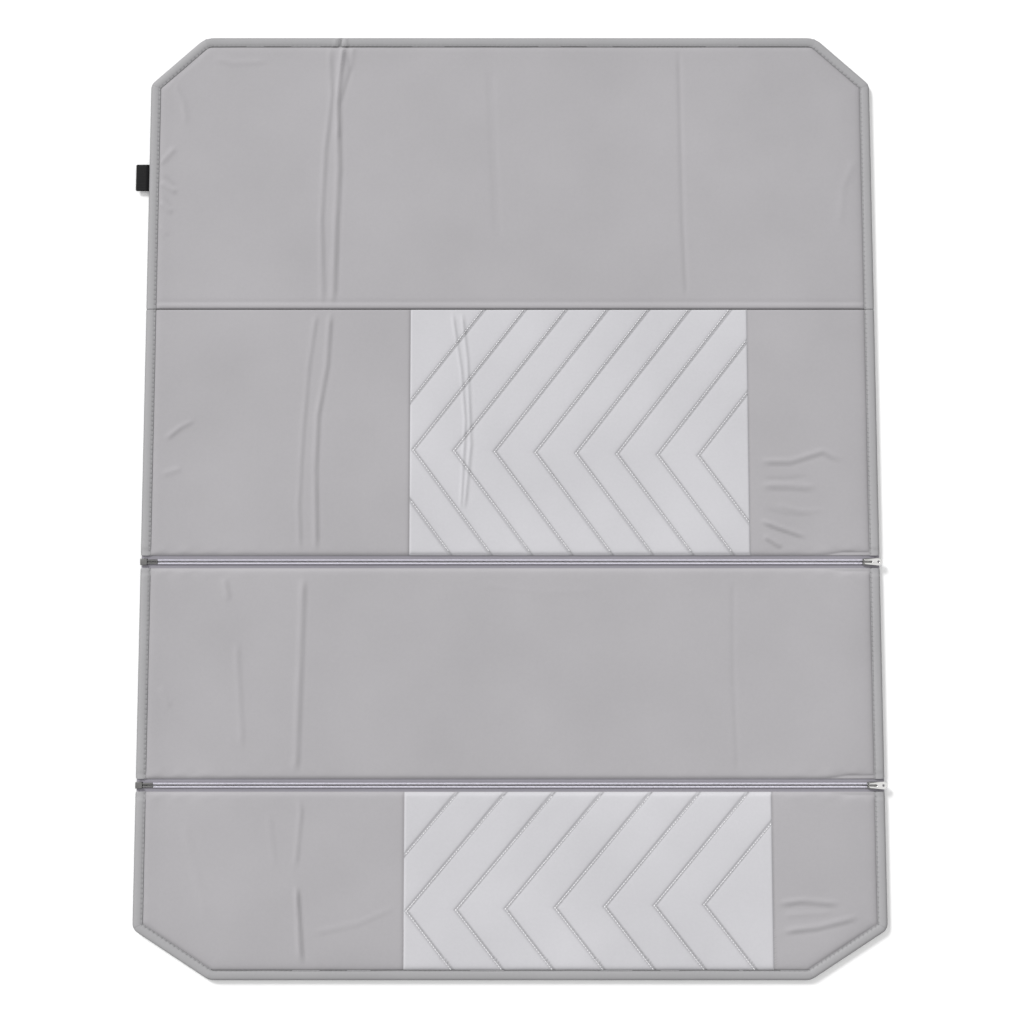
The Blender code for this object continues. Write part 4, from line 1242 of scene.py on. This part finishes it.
class KNEELPAD_OT_fold_seam(bpy.types.Operator):
    """Builds the strip of cloth that holds panels 1 and 2 together at the fold seam"""

    bl_idname = "kneelpad.fold_seam"
    bl_label = "Fold seam"

    def execute(self, context):
        low, high = PLANS["panel_2"].high_y, PLANS["panel_1"].low_y
        middle = (low + high) / 2
        rows = middle + np.concatenate([[-5.2, -3], np.linspace(-1.0, 1.0, 13), [3, 5.2]]) * MM
        xs = np.linspace(LEFT_X + 1.5 * MM, RIGHT_X - 1.5 * MM, 180)
        strip = ribbon("fold_seam_strip", rows, np.full(len(rows), MID_Z), 0.18 * MM, xs, "cover_cloth")
        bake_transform(strip)
        return {"FINISHED"}


class KNEELPAD_OT_side_tab(bpy.types.Operator):
    """Builds the folded black webbing tab at the left side"""

    bl_idname = "kneelpad.side_tab"
    bl_label = "Side tab"

    def execute(self, context):
        low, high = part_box("panel_1_side_tab")
        layer, gap = 0.6 * MM, 0.15 * MM
        inner, outer = high.x, low.x
        bend = outer + layer + gap
        centre = [(inner, gap / 2 + layer / 2)]
        centre += [(inner + (bend - inner) * t, gap / 2 + layer / 2) for t in (0.3, 0.6, 0.85)]
        for t in np.linspace(0, math.pi, 9):
            centre.append((bend - (gap / 2 + layer / 2) * math.sin(t), (gap / 2 + layer / 2) * math.cos(t)))
        centre += [(inner + (bend - inner) * t, -gap / 2 - layer / 2) for t in (0.85, 0.6, 0.3)]
        centre.append((inner, -gap / 2 - layer / 2))
        centre = np.array(centre)
        tangent = np.gradient(centre, axis=0)
        tangent /= np.linalg.norm(tangent, axis=1)[:, None]
        normal = np.stack([tangent[:, 1], -tangent[:, 0]], 1)
        sections = []
        width = high.y - low.y
        for v in np.concatenate([[0, 0.012, 0.035, 0.07], np.linspace(0.1, 0.9, 33), [0.93, 0.965, 0.988, 1]]):
            rounding = min(v, 1 - v) * width
            thin = math.sqrt(1 - max(0.0, 1 - rounding / (0.45 * MM)) ** 2) * 0.7 + 0.3
            rib = 1 + 0.08 * math.sin(v * width / (0.42 * MM))
            half = layer / 2 * thin * rib
            pulled = 0.5 * MM * max(0.0, 1 - rounding / (1.0 * MM)) ** 2
            out = np.array([[min(1, (inner - cx) / (inner - outer)) * pulled, 0] for cx, _ in centre])
            upper, lower = centre + out + normal * half, centre + out - normal * half
            loop = np.concatenate([upper, lower[::-1]])
            sections.append([(cx, low.y + v * width, MID_Z + cz) for cx, cz in loop])
        tab = swept_shell("side_tab_webbing", sections, "tab_cloth")
        place_piece(tab, "panel_1", ("panel_1_side_tab",))
        return {"FINISHED"}


# ---------------------------------------------------------------- zips
class KNEELPAD_OT_zip_tapes(bpy.types.Operator):
    """Builds the woven zip tapes, which run from inside one panel to the coil"""

    bl_idname = "kneelpad.zip_tapes"
    bl_label = "Zip tapes"

    def execute(self, context):
        for zip_name, (rear, front) in ZIPS.items():
            for part, panel in (("rear", rear), ("front", front)):
                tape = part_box(f"{zip_name}_{part}_tape")
                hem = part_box(f"{zip_name}_{part}_tape_hem")
                sign = 1 if part == "rear" else -1
                centre = (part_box(zip_name + "_rear_tape")[0].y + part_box(zip_name + "_front_tape")[1].y) / 2
                near = min(abs(tape[0].y - centre), abs(tape[1].y - centre))
                far = max(abs(hem[0].y - centre), abs(hem[1].y - centre))
                turn = [joint for joint in frame["joints"] if joint["name"] == f"{zip_name}_{part}_fold"][0]
                fold = abs(turn["pos_m"][1] - centre)
                spots = [near, near + 0.4 * MM, 1.6 * MM, 2.6 * MM, 3.4 * MM, 4.1 * MM]
                spots += list(fold + np.linspace(-1.0, 1.0, 11) * MM)
                spots += [fold + 2.2 * MM, fold + 3.8 * MM, far]
                rows = [centre + sign * s for s in spots]
                box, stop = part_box(zip_name + "_retainer_box"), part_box(zip_name + "_rear_top_stop")
                left, right = box[1].x + 0.1 * MM, stop[0].x + 0.4 * MM
                xs = np.linspace(box[0].x + 0.8 * MM, RIGHT_X - 0.3 * MM, 240)
                xs = np.unique(np.concatenate([xs, [left, left + 0.2 * MM, right, right + 0.4 * MM]]))

                def edge_at(x, near=near, box=box, left=left, right=right):
                    if x <= left:
                        return centre + sign * ((box[1].y - box[0].y) / 2 + 0.15 * MM)
                    return centre + sign * (near if x <= right else 0.08 * MM)

                cloth = ribbon(f"{zip_name}_{part}_tape_cloth", rows, np.full(len(rows), MID_Z),
                               (tape[1].z - tape[0].z) / 2, xs, "tape_cloth", edge_at)
                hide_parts(f"{zip_name}_{part}_tape", f"{zip_name}_{part}_tape_hem")
                if part == "rear":
                    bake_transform(cloth)
                else:
                    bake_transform(cloth)
        return {"FINISHED"}


class KNEELPAD_OT_zip_coils(bpy.types.Operator):
    """Builds both rows of nylon coil of each zip, with the thread that sews them to the tape"""

    bl_idname = "kneelpad.zip_coils"
    bl_label = "Zip coils"

    def execute(self, context):
        teeth, stitches = tooth_tree(), stitch_tree()
        for zip_name in ZIPS:
            for number, part in enumerate(("rear", "front")):
                low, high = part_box(f"{zip_name}_{part}_coil")
                y, z = (low.y + high.y) / 2, (low.z + high.z) / 2
                shift = number * sizes().tooth_pitch / 2
                sign = 1 if part == "rear" else -1
                row = [(low.x + 0.4 * MM + shift, y + sign * 0.12 * MM, z),
                       (high.x - 0.9 * MM + shift, y + sign * 0.12 * MM, z)]
                coil = grown(
                    f"{zip_name}_{part}_coil_teeth", [row], teeth, "coil_nylon",
                    {"Pitch": sizes().tooth_pitch, "Length": 0.98 * MM, "Width": high.y - low.y + 0.5 * MM,
                     "Height": high.z - low.z, "Lean": sign * 0.10, "Unevenness": 0.03, "Seed": 11 + number})
                place_piece(coil, zip_name + "_strip", (f"{zip_name}_{part}_coil",))
                line = [(low.x + 1 * MM, y + sign * 0.35 * MM, high.z - 0.10 * MM),
                        (high.x - 1 * MM, y + sign * 0.35 * MM, high.z - 0.10 * MM)]
                chain = grown(
                    f"{zip_name}_{part}_chain_stitch", [line], stitches, "coil_nylon",
                    {"Pitch": 2.3 * MM, "Length": 2.5 * MM, "Width": 0.5 * MM, "Height": 0.36 * MM,
                     "Seed": 5})
                place_piece(chain, zip_name + "_strip")
        return {"FINISHED"}


def softened(node, name, width, material):
    """A copy of a metal solid with its edges rounded off."""
    mesh = frame["nodes"][node].data.copy()
    mesh.name = name
    shape = bmesh.new()
    shape.from_mesh(mesh)
    bmesh.ops.remove_doubles(shape, verts=shape.verts, dist=0.002 * MM)
    bmesh.ops.dissolve_limit(shape, angle_limit=math.radians(2), verts=shape.verts, edges=shape.edges)
    shape.to_mesh(mesh)
    shape.free()
    mesh.materials.clear()
    mesh.materials.append(finish_named(material))
    piece = bpy.data.objects.new(name, mesh)
    bpy.context.scene.collection.objects.link(piece)
    bevel = piece.modifiers.new("softening", "BEVEL")
    bevel.width = width
    bevel.segments = 3
    bevel.limit_method = "ANGLE"
    bevel.angle_limit = math.radians(32)
    graph = bpy.context.evaluated_depsgraph_get()
    graph.update()
    made = bpy.data.meshes.new_from_object(piece.evaluated_get(graph), depsgraph=graph)
    piece.modifiers.clear()
    piece.data = made
    made.polygons.foreach_set("use_smooth", [True] * len(made.polygons))
    made.set_sharp_from_angle(angle=math.radians(40))
    bpy.data.meshes.remove(mesh)
    return piece


class KNEELPAD_OT_zip_hardware(bpy.types.Operator):
    """Builds the sliders, pull tabs, stops, pins and retainer boxes of the zips"""

    bl_idname = "kneelpad.zip_hardware"
    bl_label = "Zip hardware"

    def execute(self, context):
        width = sizes().metal_softening
        for zip_name in ZIPS:
            for part, share, material in (
                    ("slider", 1.0, "slider_nickel"), ("pull_tab", 1.1, "polished_nickel"),
                    ("insertion_pin", 0.7, "dull_nickel"), ("retainer_pin", 0.7, "dull_nickel"),
                    ("retainer_box", 0.9, "dull_nickel"), ("rear_top_stop", 0.8, "dull_nickel"),
                    ("front_top_stop", 0.8, "dull_nickel")):
                node = f"{zip_name}_{part}"
                piece = softened(node, node + "_casting", width * share, material)
                body = node if part in ("slider", "pull_tab") else zip_name + "_strip"
                place_piece(piece, body, (node,))
        return {"FINISHED"}


# ---------------------------------------------------------------- stage
def soft_lamp(name, away, spread, strength):
    """A distant soft lamp that shines from the given side."""
    lamp = bpy.data.lights.new(name, "SUN")
    lamp.angle = math.radians(spread)
    lamp.energy = strength
    made = bpy.data.objects.new(name, lamp)
    made.rotation_euler = Vector(away).to_track_quat("Z", "Y").to_euler()
    bpy.context.scene.collection.objects.link(made)


class KNEELPAD_OT_stage(bpy.types.Operator):
    """Sets the pale floor, the soft lamps and the camera"""

    bl_idname = "kneelpad.stage"
    bl_label = "Stage"

    def execute(self, context):
        scene = context.scene
        side = FLOOR_HALF
        floor = new_piece(
            "studio_floor", [(-side, -side, 0), (side, -side, 0), (side, side, 0), (-side, side, 0)],
            [(0, 1, 2, 3)], "cover_cloth", smooth=False)
        floor.data.transform(Matrix.Translation((0, 0, -FLOOR_DROP)))
        floor.data.materials.clear()
        floor.data.materials.append(floor_material())

        world = bpy.data.worlds.new("studio_light")
        world.use_nodes = True
        backdrop = world.node_tree.nodes["Background"]
        backdrop.inputs["Color"].default_value = (1.0, 1.0, 1.0, 1.0)
        backdrop.inputs["Strength"].default_value = DAYLIGHT
        scene.world = world
        soft_lamp("key_lamp", (-0.62, 0.70, 0.56), 16, 2.75)
        soft_lamp("fill_lamp", (0.5, -0.4, 1.5), 60, 0.3)

        camera = bpy.data.cameras.new("camera")
        camera.sensor_width = 36
        camera.lens = CAMERA_LENS
        holder = bpy.data.objects.new("camera", camera)
        arm = Vector((0, -math.sin(CAMERA_TILT), math.cos(CAMERA_TILT)))
        holder.location = CAMERA_AIM + CAMERA_DISTANCE * arm
        holder.rotation_euler = (CAMERA_TILT, 0, 0)
        scene.collection.objects.link(holder)
        scene.camera = holder
        scene.view_settings.view_transform = "Standard"
        return {"FINISHED"}


# ---------------------------------------------------------------- add-on
class KNEELPAD_PT_panel(bpy.types.Panel):
    """Lists the steps that build the kneeling pad"""

    bl_idname = "KNEELPAD_PT_panel"
    bl_label = "Kneeling pad"
    bl_space_type = "VIEW_3D"
    bl_region_type = "UI"
    bl_category = "Kneeling pad"

    def draw(self, context):
        for step in STEPS:
            self.layout.operator(step.bl_idname)
        for group in (context.scene.pad_sizes, context.scene.pad_colours):
            box = self.layout.box()
            for key in group.__annotations__:
                box.prop(group, key)


STEPS = (
    KNEELPAD_OT_stage, KNEELPAD_OT_padded_panels, KNEELPAD_OT_quilted_insets, KNEELPAD_OT_edge_binding,
    KNEELPAD_OT_fold_seam, KNEELPAD_OT_side_tab, KNEELPAD_OT_zip_tapes, KNEELPAD_OT_zip_coils,
    KNEELPAD_OT_zip_hardware,
)
CLASSES = (PadSizes, PadColours) + STEPS + (KNEELPAD_PT_panel,)


def register():
    for cls in CLASSES:
        bpy.utils.register_class(cls)
    bpy.types.Scene.pad_sizes = bpy.props.PointerProperty(type=PadSizes)
    bpy.types.Scene.pad_colours = bpy.props.PointerProperty(type=PadColours)


def unregister():
    del bpy.types.Scene.pad_colours
    del bpy.types.Scene.pad_sizes
    for cls in reversed(CLASSES):
        bpy.utils.unregister_class(cls)


def main():
    """Builds every piece in order."""
    register()
    bpy.ops.kneelpad.stage()
    bpy.ops.kneelpad.padded_panels()
    bpy.ops.kneelpad.quilted_insets()
    bpy.ops.kneelpad.edge_binding()
    bpy.ops.kneelpad.fold_seam()
    bpy.ops.kneelpad.side_tab()
    bpy.ops.kneelpad.zip_tapes()
    bpy.ops.kneelpad.zip_coils()
    bpy.ops.kneelpad.zip_hardware()


if __name__ == "__main__":
    main()
